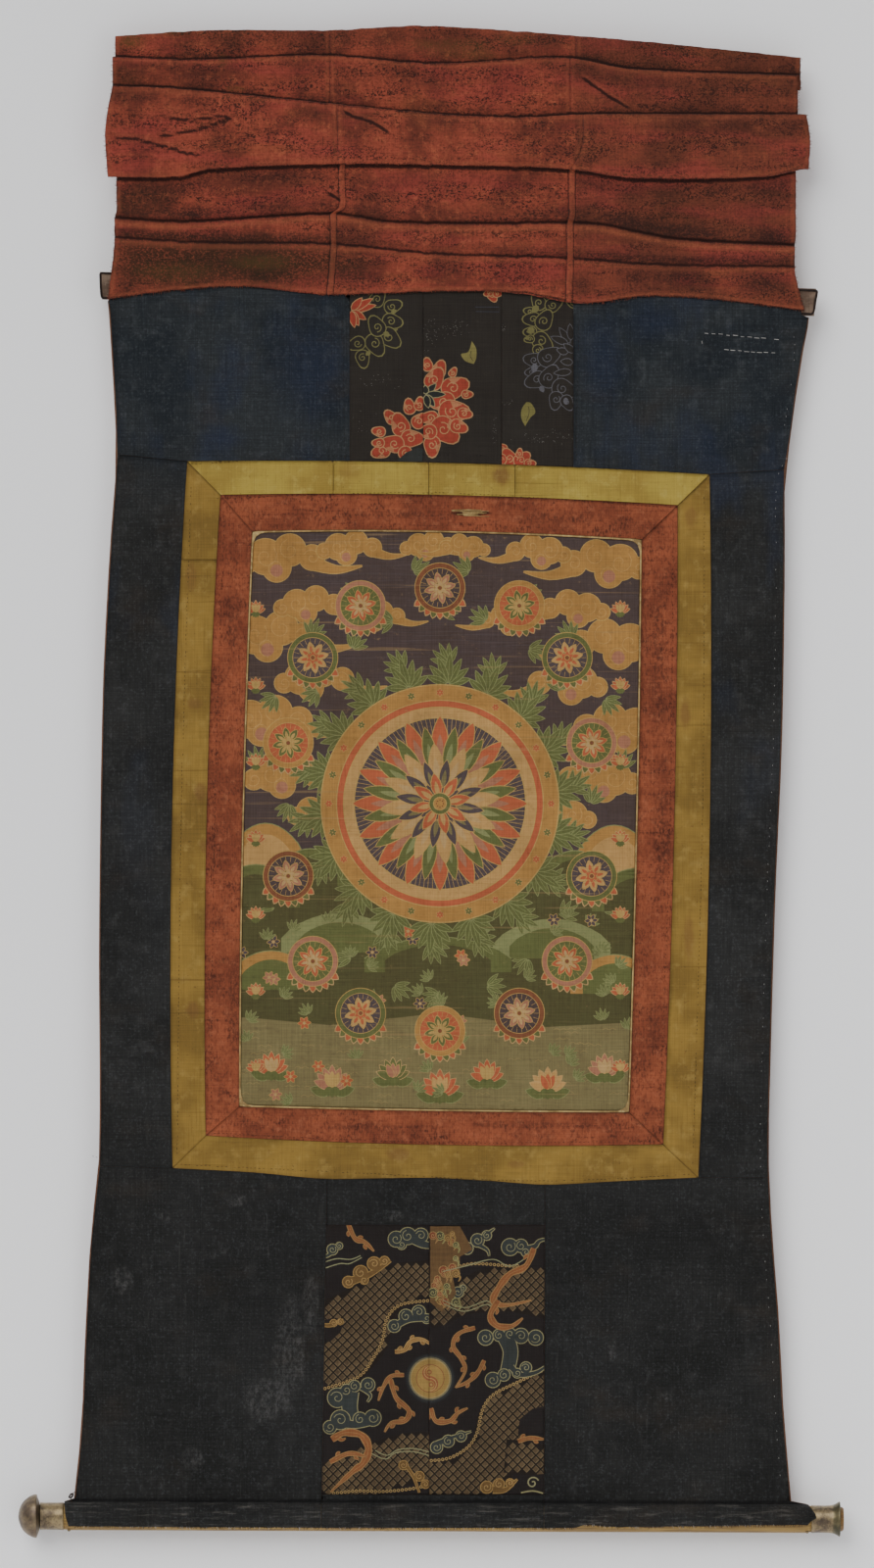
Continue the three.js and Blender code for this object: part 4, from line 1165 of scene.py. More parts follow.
# Veil: the same pleat as the solids, in fine steps

VEIL_TOP = curve([(-350, -9), (-251, -3), (-129, -3), (-46, 1.5), (0, 0), (87, -6), (206, -16),
                  (350, -31)])
FIRST_FOLD = curve([(-352, -30), (-268, -33), (-168, -29), (-126, -29), (-21, -37), (115, -31),
                    (178, -42), (347, -49)])
SECOND_FOLD = curve([(-352, -60), (-296, -62), (-211, -70), (-126, -79), (-21, -89), (64, -92),
                     (121, -89), (347, -89)])
THIRD_FOLD = curve([(-357, -153), (-285, -153), (-251, -145), (-126, -140), (-21, -141),
                    (115, -145), (178, -154), (306, -153), (346, -145)])
DEEP_CREASE = curve([(-349, -194), (-282, -198), (-126, -190), (-69, -198), (36, -200),
                     (138, -200), (221, -215), (343, -222)])
LOW_CREASE = curve([(-350, -214), (-268, -219), (-129, -221), (-21, -231), (107, -235),
                    (206, -242), (343, -244)])
VEIL_HEM = curve([(-357, -278.6), (-285, -269), (-211, -265), (-131, -273), (-21, -270),
                  (64, -271), (138, -282), (192, -275), (263, -278), (354, -290)])
# Edges of the three cloths at each pleat: left, first seam, second seam, right
TOP_TIER = (-349.5, -130, 121, 350)
SECOND_TIER = (-352, -130, 115, 347)
BAND_TOP = (-352, -123, 128, 356)
BAND_MIDDLE = (-359.5, -122.5, 128, 359.6)
BAND_BOTTOM = (-357, -121.5, 116, 358)
SKIRT_TOP = (-348, -121.5, 113, 345)
SKIRT_MIDDLE = (-350, -130, 111, 344)
SKIRT_HEM = (-357, -134, 110, 354)
TUCK = 16.0
VEIL_STEP = 2.0


def layer_depth(layer):
    return -2.0 - 2.0 * layer


def halfway(a, b):
    return tuple((p + q) / 2 for p, q in zip(a, b))


def veil_path():
    """Stations from the top edge to the hem: depth, height as a function of x, widths."""
    def at(line, drop, layer, puff, widths):
        return (layer_depth(layer) - puff, lambda x: line(x) - drop, widths)

    def between(a, b, t, layer, puff, widths):
        return (layer_depth(layer) - puff, lambda x: mix(a(x), b(x), t), widths)

    def turn(line, end, layer, after, widths):
        centre = (layer_depth(layer) + layer_depth(after)) / 2
        outward = 1 if layer_depth(after) > layer_depth(layer) else -1

        def station(degrees):
            angle = math.radians(degrees)
            rise = end * math.sin(angle) - end * (1 + CLOTH / 2)
            return (centre - outward * math.cos(angle), lambda x: line(x) + rise, widths)
        return [station(degrees) for degrees in (0, 60, 120, 180)]

    def below(line):
        return lambda x: line(x) - TUCK

    def above(line):
        return lambda x: line(x) + TUCK

    return [
        at(VEIL_TOP, 0, 0, 0, TOP_TIER),
        between(VEIL_TOP, FIRST_FOLD, 0.5, 0, 0.6, TOP_TIER),
        *turn(below(FIRST_FOLD), -1, 0, 1, TOP_TIER),
        *turn(FIRST_FOLD, 1, 1, 2, SECOND_TIER),
        between(FIRST_FOLD, SECOND_FOLD, 0.35, 2, 0.9, SECOND_TIER),
        between(FIRST_FOLD, SECOND_FOLD, 0.7, 2, 0.6, SECOND_TIER),
        *turn(below(SECOND_FOLD), -1, 2, 3, SECOND_TIER),
        *turn(SECOND_FOLD, 1, 3, 4, BAND_TOP),
        between(SECOND_FOLD, THIRD_FOLD, 0.2, 4, 1.6, halfway(BAND_TOP, BAND_MIDDLE)),
        between(SECOND_FOLD, THIRD_FOLD, 0.5, 4, 2.4, BAND_MIDDLE),
        between(SECOND_FOLD, THIRD_FOLD, 0.8, 4, 1.6, halfway(BAND_MIDDLE, BAND_BOTTOM)),
        *turn(THIRD_FOLD, -1, 4, 3, BAND_BOTTOM),
        *turn(above(THIRD_FOLD), 1, 3, 2, SKIRT_TOP),
        at(THIRD_FOLD, 3, 2, 0, SKIRT_TOP),
        between(THIRD_FOLD, DEEP_CREASE, 0.5, 2, 0.8, SKIRT_TOP),
        at(DEEP_CREASE, -6, 2, 1.6, SKIRT_TOP),
        at(DEEP_CREASE, 0, 2, -0.7, SKIRT_MIDDLE),
        at(DEEP_CREASE, 6, 2, 1.0, SKIRT_MIDDLE),
        at(LOW_CREASE, -5, 2, 0.9, SKIRT_MIDDLE),
        at(LOW_CREASE, 0, 2, -0.5, SKIRT_MIDDLE),
        at(LOW_CREASE, 6, 2, 0.7, SKIRT_MIDDLE),
        between(LOW_CREASE, VEIL_HEM, 0.6, 2, 0.2, halfway(SKIRT_MIDDLE, SKIRT_HEM)),
        at(VEIL_HEM, 0, 2, 0, SKIRT_HEM),
    ]


def refined(points, counts):
    """Even-speed smooth points through a path, with a set count of steps in each stretch."""
    marks = [0.0]
    for a, b in zip(points, points[1:]):
        marks.append(marks[-1] + max((b - a).length, 1e-4))
    last = len(points) - 1
    slopes = []
    for i in range(last + 1):
        low, high = max(i - 1, 0), min(i + 1, last)
        slopes.append((points[high] - points[low]) / (marks[high] - marks[low]))
    out = []
    for i in range(last):
        span = marks[i + 1] - marks[i]
        rise = points[i + 1] - points[i]
        start = slopes[i] * span - rise
        end = rise - slopes[i + 1] * span
        for k in range(counts[i]):
            t = k / counts[i]
            out.append(points[i].lerp(points[i + 1], t) + t * (1 - t) * ((1 - t) * start + t * end))
    out.append(points[last].copy())
    return out

# Creases of the veil, listed as for the body cloth
VEIL_CREASES = Creases([
    ([(-312, -113), (-290, -110), (-262, -104), (-240, -97), (-222, -90)], 1.5, 1.9),
    ([(-334, -92), (-300, -92), (-272, -96), (-246, -92), (-226, -92)], 1.4, 0.9),
    ([(-362, -112), (-330, -114), (-300, -122), (-276, -129), (-256, -132)], 1.6, 1.3),
    ([(-122, -82), (-106, -92), (-88, -97), (-76, -104), (-66, -112)], 1.5, 1.2),
    ([(122, -48), (136, -58), (156, -72), (184, -88)], 1.7, 1.6),
    ([(-136, -166), (-126, -173), (-118, -178), (-116, -184)], 1.4, 1.3),
    ([(-362, -108), (-340, -109), (-326, -107)], 1.6, 0.8),
    ([(-312, -90), (-280, -97), (-240, -88)], 1.5, 0.6),
    ([(137, -55), (170, -73), (200, -85)], 1.6, 0.6),
    ([(190, -52), (215, -60), (232, -58)], 1.8, 0.6),
    ([(-134, -168), (-128, -174), (-126, -182), (-140, -184)], 1.6, 0.9),
    ([(-350, -40), (-290, -48), (-215, -50)], 2.4, 0.5),
    ([(-100, -52), (0, -58), (90, -56)], 2.6, 0.5),
    ([(0, -76), (60, -80), (112, -78)], 1.8, 0.7),
    ([(-90, -112), (10, -108), (100, -112)], 2.4, 0.5),
    ([(150, -104), (230, -107), (330, -102)], 2.4, 0.5),
    ([(160, -130), (240, -134), (350, -128)], 2.4, 0.4),
    ([(-340, -172), (-250, -178), (-150, -170)], 3.0, 0.6),
    ([(-110, -168), (0, -175), (100, -172)], 3.0, 0.6),
    ([(140, -182), (220, -196), (330, -204)], 3.0, 0.6),
    ([(-340, -240), (-230, -246), (-140, -242)], 2.6, 0.6),
    ([(-120, -252), (0, -254), (100, -258)], 2.6, 0.7),
    ([(130, -262), (230, -264), (335, -262)], 2.6, 0.6),
    ([(-110, -262), (0, -265), (90, -266)], 1.6, 0.5),
    ([(-330, -206), (-230, -210), (-140, -206)], 2.0, 0.6),
    ([(90, -214), (180, -224), (330, -236)], 2.0, 0.5),
])
# This many of them, from the first, also carry a dark line (painted crease shade with soil) and a painted
# highlight above it
DARK_CREASES = 6
# Stands for a raw side that the cloth doesn't have, in millimetres
FAR_OFF = 1e4


def veil_relief(x, z, skirt):
    """Depth of the pile at a point; the skirt below the band has rolled lips beside its creases."""
    value = VEIL_CREASES.depth(x, z)
    value += 0.7 * ripple_noise(x, z, 40, 2.0) + 0.36 * ripple_noise(x * 0.6, z, 11, 5.0)
    if skirt:
        to_deep, to_low = z - DEEP_CREASE(x), z - LOW_CREASE(x)
        value += 2.0 * gauss(to_deep, 1.8) - 1.2 * gauss(to_deep - 7, 5) - 1.3 * gauss(to_deep + 6, 4)
        value += 1.4 * gauss(to_low, 1.6) - 0.8 * gauss(to_low + 6, 4)
        value += 0.9 * gauss(z - THIRD_FOLD(x) + 4, 3) - 0.8 * gauss(z - THIRD_FOLD(x) + 20, 9)
    return value


def lift_of(x):
    """How far the whole pile swings toward the viewer, by place along its width."""
    return -0.7 * (1 + math.sin(x / 74 + 1.1))


def edge_wander(x):
    """How far a crosswise edge of the veil runs off its line."""
    return 0.7 * ripple_noise(x, 0, 13, 6.0)


def in_skirt(x, z):
    return z < THIRD_FOLD(x) + 4


def fold_wear_and_light(x, z, layer):
    """Dark lines (painted crease shade with soil), painted highlights with pale threads, and painted shade
    along the folds and crosswise creases.
    """
    shade_and_soil_lines, edge, shade = 0.0, 0.0, 0.0
    wander = 0.9 * ripple_noise(x, 0, 7, 8.0) + 0.6 * ripple_noise(x, 0, 2.4, 9.0)
    patchy = smooth(0.5 + 1.4 * ripple_noise(x, z * 0.5, 42, 3.0))
    to_first, to_second = z - FIRST_FOLD(x), z - SECOND_FOLD(x)
    to_third, to_hem = z - THIRD_FOLD(x), z - VEIL_HEM(x)
    to_deep, to_low = z - DEEP_CREASE(x), z - LOW_CREASE(x)
    if layer <= 0:
        shade_and_soil_lines = gauss(to_first - 0.4 + wander, 2.2)
        shade = 0.8 * gauss(to_first, 9) * patchy
    if 0 < layer <= 3 and z > SECOND_FOLD(x) - 5:
        shade_and_soil_lines = max(shade_and_soil_lines, gauss(to_second - 0.4 + wander, 2.5), 0.6 * gauss(to_first + 0.8, 1.1))
        shade = max(shade, 0.7 * gauss(to_second - 2, 8) * patchy,
                    0.5 * gauss(to_first + 14, 8) * patchy)
        edge = 0.6 * gauss(to_first + 3.0, 1.8)
    if layer >= 4:
        shade_and_soil_lines = max(shade_and_soil_lines, 0.6 * gauss(to_second + 0.5, 1.1), 0.4 * gauss(to_third - 0.3, 0.8))
        shade = max(shade, 0.55 * gauss(to_second + 12, 7) * patchy)
        edge = max(edge, 0.75 * gauss(to_third - 2.6 + wander, 1.6),
                   0.5 * gauss(to_second + 3.4, 2.0))
    # On the skirt: painted shade under the band and above each crease, and painted highlights on the rolled
    # lips below the creases and along the hem.
    if layer <= 3 and in_skirt(x, z):
        shade_and_soil_lines = max(shade_and_soil_lines, gauss(to_third + 1.8 + wander, 2.8), gauss(to_deep + wander * 0.6, 2.3),
                   0.95 * gauss(to_low + wander * 0.6, 2.1), 0.8 * gauss(to_hem - 0.4, 1.3))
        shade = max(shade, gauss(to_deep - 7, 9) * (0.4 + 0.6 * patchy),
                    0.75 * gauss(to_low - 5, 5), 0.8 * gauss(to_hem - 22, 12) * patchy,
                    0.75 * gauss(to_third + 12, 9) * (0.3 + 0.7 * patchy))
        edge = max(edge, gauss(to_deep + 6.0, 3.0), 0.6 * gauss(to_low + 4.4, 2.4),
                   0.75 * gauss(to_hem - 3, 1.8))
    return shade_and_soil_lines, edge, shade


def veil_wear_and_light(x, z, y, seams, left, right):
    """Dark lines (painted crease shade with soil), painted highlights with pale threads, and painted shade
    at a point of the veil, as a colour's three parts.
    """
    layer = round((-2.0 - y) / 2.0)
    shade_and_soil_lines, edge, shade = fold_wear_and_light(x, z, layer)
    # The first creases get a dark line in the trough (painted shade with soil) and a painted highlight just
    # above it.
    for rows, _, _ in VEIL_CREASES.near(x, z, DARK_CREASES):
        shade_and_soil_lines = max(shade_and_soil_lines, fold(x, z, rows, 2.0, 1.04))
        edge = max(edge, fold(x, z - 3.4, rows, 1.7, 0.55))
    shade *= 1 - 0.7 * gauss(x + 10, 110)
    on_skirt = layer <= 3 and in_skirt(x, z)
    # At each seam a dark line in the crevice, painted shade with soil; on the skirt the raised seam strip
    # gets the pale part and less painted shade.
    for seam in seams:
        past = x - seam
        shade_and_soil_lines = max(shade_and_soil_lines, (0.9 if on_skirt else 0.6) * gauss(past, 0.6))
        if on_skirt:
            ridge = 1.0 if 0.9 < past < 6.2 else 0.0
            shade_and_soil_lines = max(shade_and_soil_lines, 0.9 * gauss(past - 7.0, 0.8)) * (1 - 0.7 * ridge)
            edge = max(edge, 0.6 * ridge)
            shade *= 1 - 0.6 * ridge
        else:
            edge = max(edge, 0.5 * gauss(past + 3.0, 1.6), 0.4 * gauss(past - 3.0, 1.6))
    shade_and_soil_lines = max(shade_and_soil_lines, 0.5 * gauss(x - left, 1.0), 0.5 * gauss(x - right, 1.0))
    edge = max(edge, 0.6 * gauss(x - left - 3, 1.8), 0.6 * gauss(x - right + 3, 1.8))
    return (shade_and_soil_lines, edge, shade, 1.0)


def veil_spread(width):
    """Places across one cloth, closer together near its two sides."""
    beside = (0, 0.8, 1.6, 2.6, 3.6, 4.8, 6.0, 7.0, 8.2, 10.0)
    count = max(20, int((width - 24) / (VEIL_STEP * 1.7)))
    inner = [mix(12.0, width - 12.0, i / count) for i in range(count + 1)]
    return [*beside, *inner, *(width - place for place in reversed(beside))]


def sheet_faces(across, rows):
    """Faces of a closed sheet: front points column by column, then the back ones in the same order."""
    shift = (across + 1) * rows
    last = across * rows
    faces = []
    for i in range(across):
        for j in range(rows - 1):
            a, b = i * rows + j, (i + 1) * rows + j
            faces.append((a, a + 1, b + 1, b))
            faces.append((shift + a, shift + b, shift + b + 1, shift + a + 1))
    for j in range(rows - 1):
        a, b = j, last + j
        faces.append((a, shift + a, shift + a + 1, a + 1))
        faces.append((b, b + 1, shift + b + 1, shift + b))
    for i in range(across):
        a, b = i * rows, (i + 1) * rows
        faces.append((a, b, shift + b, shift + a))
        a, b = a + rows - 1, b + rows - 1
        faces.append((a, shift + a, shift + b, b))
    return faces

# The left and right side of each cloth's front, for the loose threads there
VEIL_RIMS = {}


def veil_cloth(name, cloth):
    """One of the veil's three cloths, 0 to 2 from the left."""
    path = veil_path()
    middle = [Vector((0, y, z(0))) for y, z, _ in path]
    counts = [max(2, math.ceil((b - a).length / VEIL_STEP)) for a, b in zip(middle, middle[1:])]
    start, end = TOP_TIER[cloth], TOP_TIER[cloth + 1]
    width = end - start
    spread = veil_spread(width)
    left_side, right_side = (
        [point.x for point in refined([Vector((w[cloth + k], 0, z(0))) for _, z, w in path], counts)]
        for k in (0, 1))
    front, back, wear = [], [], []
    for reach in spread:
        t = reach / width
        nominal = mix(start, end, t)
        lift = lift_of(nominal)
        line = refined([Vector((mix(w[cloth], w[cloth + 1], t), y + lift, z(nominal)))
                        for y, z, w in path], counts)
        last = len(line) - 1
        at_side = min(reach, width - reach)
        for j, point in enumerate(line):
            ahead = line[min(j + 1, last)] - line[max(j - 1, 0)]
            out = Vector((0, ahead.z, -ahead.y))
            out.normalize()
            skirt = point.y - lift < -4.6 and in_skirt(point.x, point.z)
            at_end = min(j, last - j) * VEIL_STEP
            half = CLOTH / 2 * (1 - 0.35 * gauss(at_side, 1.5) - 0.35 * gauss(at_end, 1.5))
            pull = 0.5 * gauss(at_side, 1.6)
            if cloth > 0 and skirt and reach < 8:
                # The seam strip stands out
                pull -= 1.3 * gauss(reach - 3.4, 2.4)
            base = point + Vector((
                0.5 * ripple_noise(point.z, point.x * 0.1, 6, 7.0) * gauss(at_side, 12),
                veil_relief(point.x, point.z, skirt) + pull,
                edge_wander(point.x) + 0.3 * ripple_noise(point.x, 0, 4, 3.0)))
            front.append(base + out * half)
            back.append(base - out * half)
            seams = []
            if cloth > 0:
                seams.append(left_side[j])
            if cloth < 2:
                seams.append(right_side[j])
            # Dark lines, painted highlights and painted shade at each point, for the vertex layer.
            wear.append(veil_wear_and_light(point.x, point.z, point.y - lift, seams,
                                  left_side[j] if cloth == 0 else -FAR_OFF,
                                  right_side[j] if cloth == 2 else FAR_OFF))
    rows = len(left_side)
    VEIL_RIMS[cloth] = (front[:rows], front[-rows:])
    obj = mesh_object(name, front + back, sheet_faces(len(spread) - 1, rows))
    layer = obj.data.color_attributes.new("WearAndPaintedLight", "FLOAT_COLOR", "POINT")
    layer.data.foreach_set("color", [value for tone in wear + wear for value in tone])
    return obj


# Brocades: each place below is in its own drawing scale, from a cloth's upper left corner


def placer(scale, left, top):
    """Turns drawing places into millimetres, seen from the front."""
    def place(rows):
        return [(row[0] / scale + left, top - row[1] / scale, *row[2:]) for row in rows]
    return place


LOWER_SCALE = 3.2
UPPER_SCALE = 4.0
LOWER = placer(LOWER_SCALE, -139, -1217)
UPPER = placer(UPPER_SCALE, -112, -257)
LOWER_GROUND = srgb(20, 20, 24)
# Flames drawn wider than this are broader in the body and have one side tongue
BROAD_FLAME = 20

SCALE_GROUND = srgb(18, 16, 16)
SCALE_TONES = (srgb(76, 61, 44), srgb(94, 77, 54), srgb(116, 102, 74))
BEAD = (srgb(158, 132, 84), srgb(48, 38, 30))
CLOUD = (srgb(142, 136, 96), srgb(46, 54, 54), srgb(138, 134, 98))
TAN_CLOUD = (srgb(150, 120, 70), srgb(108, 82, 46), srgb(160, 130, 82))
FLAME = (srgb(150, 116, 72), srgb(136, 84, 50))
TAN_FLAME = (srgb(172, 140, 88), srgb(140, 104, 58))

# Scrolled clouds: lobes (x, z, radius), then tails (points, width at start, width at end)
LEFT_CLOUDS = [
    ([(244, 62, 28), (282, 52, 30), (325, 50, 26), (262, 80, 18)],
     [([(300, 62), (330, 78), (362, 84)], 34, 22)]),
    ([(36, 96, 20), (58, 84, 14)], [([(44, 98), (20, 116), (0, 120)], 18, 10)]),
    ([(238, 346, 23), (276, 314, 25), (318, 300, 24), (344, 322, 18)],
     [([(250, 340), (290, 322), (362, 318)], 26, 26)]),
    ([(152, 538, 25), (108, 542, 21), (52, 580, 34), (82, 556, 22)],
     [([(96, 560), (92, 610), (100, 655)], 56, 52), ([(130, 548), (160, 572), (150, 594)], 18, 8)]),
    ([(168, 646, 29), (126, 650, 25), (62, 652, 34), (28, 676, 24)],
     [([(60, 660), (110, 668), (165, 660)], 34, 22)]),
]
RIGHT_CLOUDS = [
    ([(616, 88, 30), (652, 84, 24), (668, 104, 18)],
     [([(660, 96), (696, 86), (712, 68), (744, 60)], 26, 9)]),
    ([(536, 384, 27), (580, 376, 22), (652, 378, 27), (700, 384, 27), (616, 372, 22)],
     [([(600, 380), (618, 430), (606, 500)], 56, 48)]),
    ([(560, 522, 27), (596, 506, 22), (668, 482, 21), (640, 500, 18)],
     [([(620, 480), (650, 505), (700, 498), (730, 480)], 24, 12)]),
    ([(376, 742, 22), (414, 722, 22), (456, 706, 20)],
     [([(380, 730), (420, 712), (490, 690)], 24, 8)]),
    ([(510, 66, 24), (540, 50, 18), (476, 92, 22)],
     [([(500, 74), (540, 96), (548, 118)], 20, 7), ([(520, 60), (556, 34), (566, 26)], 16, 6)]),
    ([(446, 236, 20), (462, 222, 13)], [([(450, 246), (430, 262), (404, 258)], 15, 6)]),
]
TAN_CLUMP = [
    ([(88, 202, 21), (128, 172, 26), (172, 142, 24), (206, 134, 18), (140, 196, 16)],
     [([(100, 198), (160, 176), (226, 132)], 30, 12)]),
]
LEFT_FLAMES = [
    ([(88, 14), (110, 60), (142, 72), (172, 102)], 17),
    ([(240, 430), (272, 424), (292, 396), (330, 390), (364, 412)], 15),
    ([(270, 506), (228, 510), (202, 545), (186, 590)], 14),
    ([(226, 520), (244, 580), (286, 622), (272, 656), (228, 662), (206, 692)], 18),
    ([(34, 716), (76, 694), (130, 702), (154, 744), (138, 792), (108, 816), (70, 850), (30, 888)], 26),
    ([(28, 790), (90, 762), (146, 772)], 18),
]
RIGHT_FLAMES = [
    ([(694, 92), (668, 150), (616, 176), (580, 220), (560, 266), (604, 278), (686, 262)], 22),
    ([(578, 262), (552, 312), (576, 346), (622, 346), (658, 320)], 22),
    ([(502, 352), (450, 370), (430, 410), (456, 452), (470, 492), (438, 548)], 15),
    ([(532, 458), (512, 496), (482, 526), (440, 546)], 15),
    ([(358, 614), (374, 656), (420, 656), (446, 630), (478, 614)], 17),
    ([(642, 722), (680, 712), (730, 716)], 16),
]
# Bands of scales: points (x, z, width in millimetres)
LEFT_SCALES = [
    [(380, 195, 41), (355, 195, 41), (242, 214, 44), (176, 270, 54), (112, 345, 80),
     (40, 420, 84), (-30, 480, 84)],
    [(380, 768, 50), (290, 778, 52), (190, 806, 52), (90, 846, 50), (0, 880, 50)],
]
RIGHT_SCALES = [
    [(760, 244, 54), (640, 228, 46), (540, 230, 44), (450, 262, 34), (380, 318, 20), (352, 336, 12)],
    [(790, 540, 40), (690, 572, 40), (583, 650, 44), (578, 752, 56), (470, 838, 44), (355, 846, 36),
     (330, 846, 36)],
    [(600, 770, 34), (660, 776, 34), (750, 790, 34)],
]
LEFT_BEADS = [
    [(12, 550), (120, 512), (170, 450), (200, 390), (214, 322), (260, 276), (362, 262)],
    [(40, 892), (120, 884), (200, 886), (300, 876), (360, 860)],
]
RIGHT_BEADS = [
    [(430, 158), (500, 142), (620, 150), (650, 146)],
    [(740, 482), (640, 530), (562, 570), (526, 620), (510, 690), (480, 740), (420, 776), (350, 786)],
]
LEFT_RIBBONS = [
    [(8, 158), (60, 142), (92, 142), (132, 122)], [(8, 138), (50, 126), (96, 128), (128, 116)],
    [(164, 762), (210, 780), (242, 760), (300, 756), (362, 772)],
    [(176, 752), (214, 768), (250, 750), (304, 746), (362, 760)],
]
RIGHT_RIBBONS = [
    [(398, 262), (468, 286), (540, 264), (566, 290)], [(400, 274), (466, 298), (536, 276), (556, 284)],
    [(396, 168), (470, 150), (560, 128), (620, 150), (700, 100)],
]
LEFT_NOTCHES = [[(0, 330), (40, 318), (76, 326), (62, 366), (30, 396), (0, 404)]]
RIGHT_NOTCHES = [
    [(642, 700), (648, 650), (690, 616), (760, 600), (760, 700)],
    [(650, 900), (652, 850), (680, 832), (760, 826), (760, 900)],
]


def scrolls(design, rows, colours, place, edge=1.0):
    """Clouds from tables in a drawing scale."""
    for lobes, tails in rows:
        design.cloud([(x, z, r / LOWER_SCALE) for x, z, r in place(lobes)],
                     [(smooth_path(place(points), 5), a / LOWER_SCALE, b / LOWER_SCALE)
                      for points, a, b in tails],
                     *colours, edge)


def roundel(design):
    """A pale ring with a two-part swirl, and a worn bluish halo."""
    (x, z), = LOWER([(355.5, 517)])
    design.rings(x, z, [
        (25.5, srgb(26, 31, 35)), (24.0, srgb(40, 45, 46)), (22.0, srgb(104, 100, 78)),
        (20.4, srgb(156, 134, 84)), (19.2, srgb(146, 118, 64)), (14.4, srgb(120, 64, 44)),
        (13.8, srgb(152, 122, 66)),
    ], 44)
    bend = [math.pi * i / 12 for i in range(13)]
    swirl = [(x - 6.2 * math.sin(a), z + 6.2 + 6.2 * math.cos(a)) for a in bend]
    swirl += [(x + 6.2 * math.sin(a), z - 6.2 + 6.2 * math.cos(a)) for a in bend[1:]]
    count = len(swirl) - 1
    widths = [1.4 + 3.4 * math.sin(math.pi * i / count) for i in range(count + 1)]
    design.stroke(swirl, widths, srgb(138, 80, 52))
    design.stroke(swirl, 0.8, srgb(168, 140, 88))
    for way in (-1, 1):
        design.disc(x - way * 1.0, z + way * 6.4, 2.6, srgb(132, 76, 50), 14)
        design.disc(x - way * 1.0, z + way * 6.4, 1.4, srgb(158, 130, 76), 12)


def reached(point, angle, reach):
    return (point[0] + reach * math.cos(angle), point[1] + reach * math.sin(angle))


def side_tongues(design, spine, wide, first, tone):
    """Short curled tongues on alternate sides of a narrow flame, or one on a broad flame."""
    outline, body = tone
    for i in range(3, len(spine) - 3, 5 if wide < BROAD_FLAME else len(spine)):
        (ax, az), (bx, bz) = spine[i - 1], spine[i + 1]
        turn = math.atan2(bz - az, bx - ax)
        way = -1 if (i + first) % 2 else 1
        out = way * wide / 12
        size = wide / 3.4
        root = (spine[i][0] - out * math.sin(turn), spine[i][1] + out * math.cos(turn))
        bend = reached(root, turn + way * 1.1, size * 0.55)
        tip = reached(root, turn + way * 0.6, size)
        tongue = smooth_path([root, bend, tip], 5)
        count = len(tongue) - 1
        taper = [1 - (n / count) ** 2 for n in range(count + 1)]
        design.stroke(tongue, [3.4 * share + 1.2 for share in taper], outline)
        design.stroke(tongue, [2.4 * share + 0.3 for share in taper], body)


def left_ornaments(design):
    scrolls(design, TAN_CLUMP, TAN_CLOUD, LOWER)
    scrolls(design, [([(40, 336, 14), (62, 332, 12)], [([(44, 340), (20, 344), (0, 340)], 16, 12)])],
            TAN_CLOUD, LOWER)
    scrolls(design, [([(268, 800, 17), (320, 836, 18), (340, 862, 16)],
                      [([(280, 806), (300, 836), (320, 890)], 14, 8)])], TAN_CLOUD, LOWER, 0.8)


def right_ornaments(design):
    """A tan ground with generic curls at the upper left, and a tan cloud and a spiral at the foot."""
    ground = [(355, 20), (452, 20), (470, 52), (494, 96), (452, 120), (452, 168), (430, 190),
              (440, 240), (416, 276), (392, 300), (355, 268)]
    design.fill(LOWER(ground), srgb(98, 74, 46))
    curls = (
        TAN_CLOUD,
        (srgb(150, 120, 76), srgb(120, 62, 42), srgb(160, 128, 84)),
        (srgb(146, 140, 88), srgb(64, 66, 48), srgb(150, 142, 92)),
    )
    chance = random.Random(11)
    for _ in range(26):
        u, v = chance.uniform(364, 440), chance.uniform(30, 270)
        radius = chance.uniform(9, 17)
        tail = ([(u, v), (u + radius, v + 12), (u + 8, v + 26)], 9, 3)
        scrolls(design, [([(u, v, radius)], [tail])], curls[chance.randrange(3)], LOWER, 0.8)
    scrolls(design, [([(540, 872, 22), (580, 862, 20), (616, 858, 16)],
                      [([(560, 880), (600, 880), (640, 846)], 28, 8)])], TAN_CLOUD, LOWER)
    (x, z), = LOWER([(690, 858)])
    design.spiral(x, z, 6.5, 1.3, 0.4, 1.5, CLOUD[2])
    design.stroke(smooth_path(LOWER([(652, 890), (690, 884), (724, 892)]), 4), 1.6, CLOUD[0])

# Each half of the lower brocade: seed, scales, notches, beads, clouds, own ornaments, ribbons, flames
HALVES = {
    "left": (5, LEFT_SCALES, LEFT_NOTCHES, LEFT_BEADS, LEFT_CLOUDS, left_ornaments, LEFT_RIBBONS,
             LEFT_FLAMES),
    "right": (8, RIGHT_SCALES, RIGHT_NOTCHES, RIGHT_BEADS, RIGHT_CLOUDS, right_ornaments,
              RIGHT_RIBBONS, RIGHT_FLAMES),
}


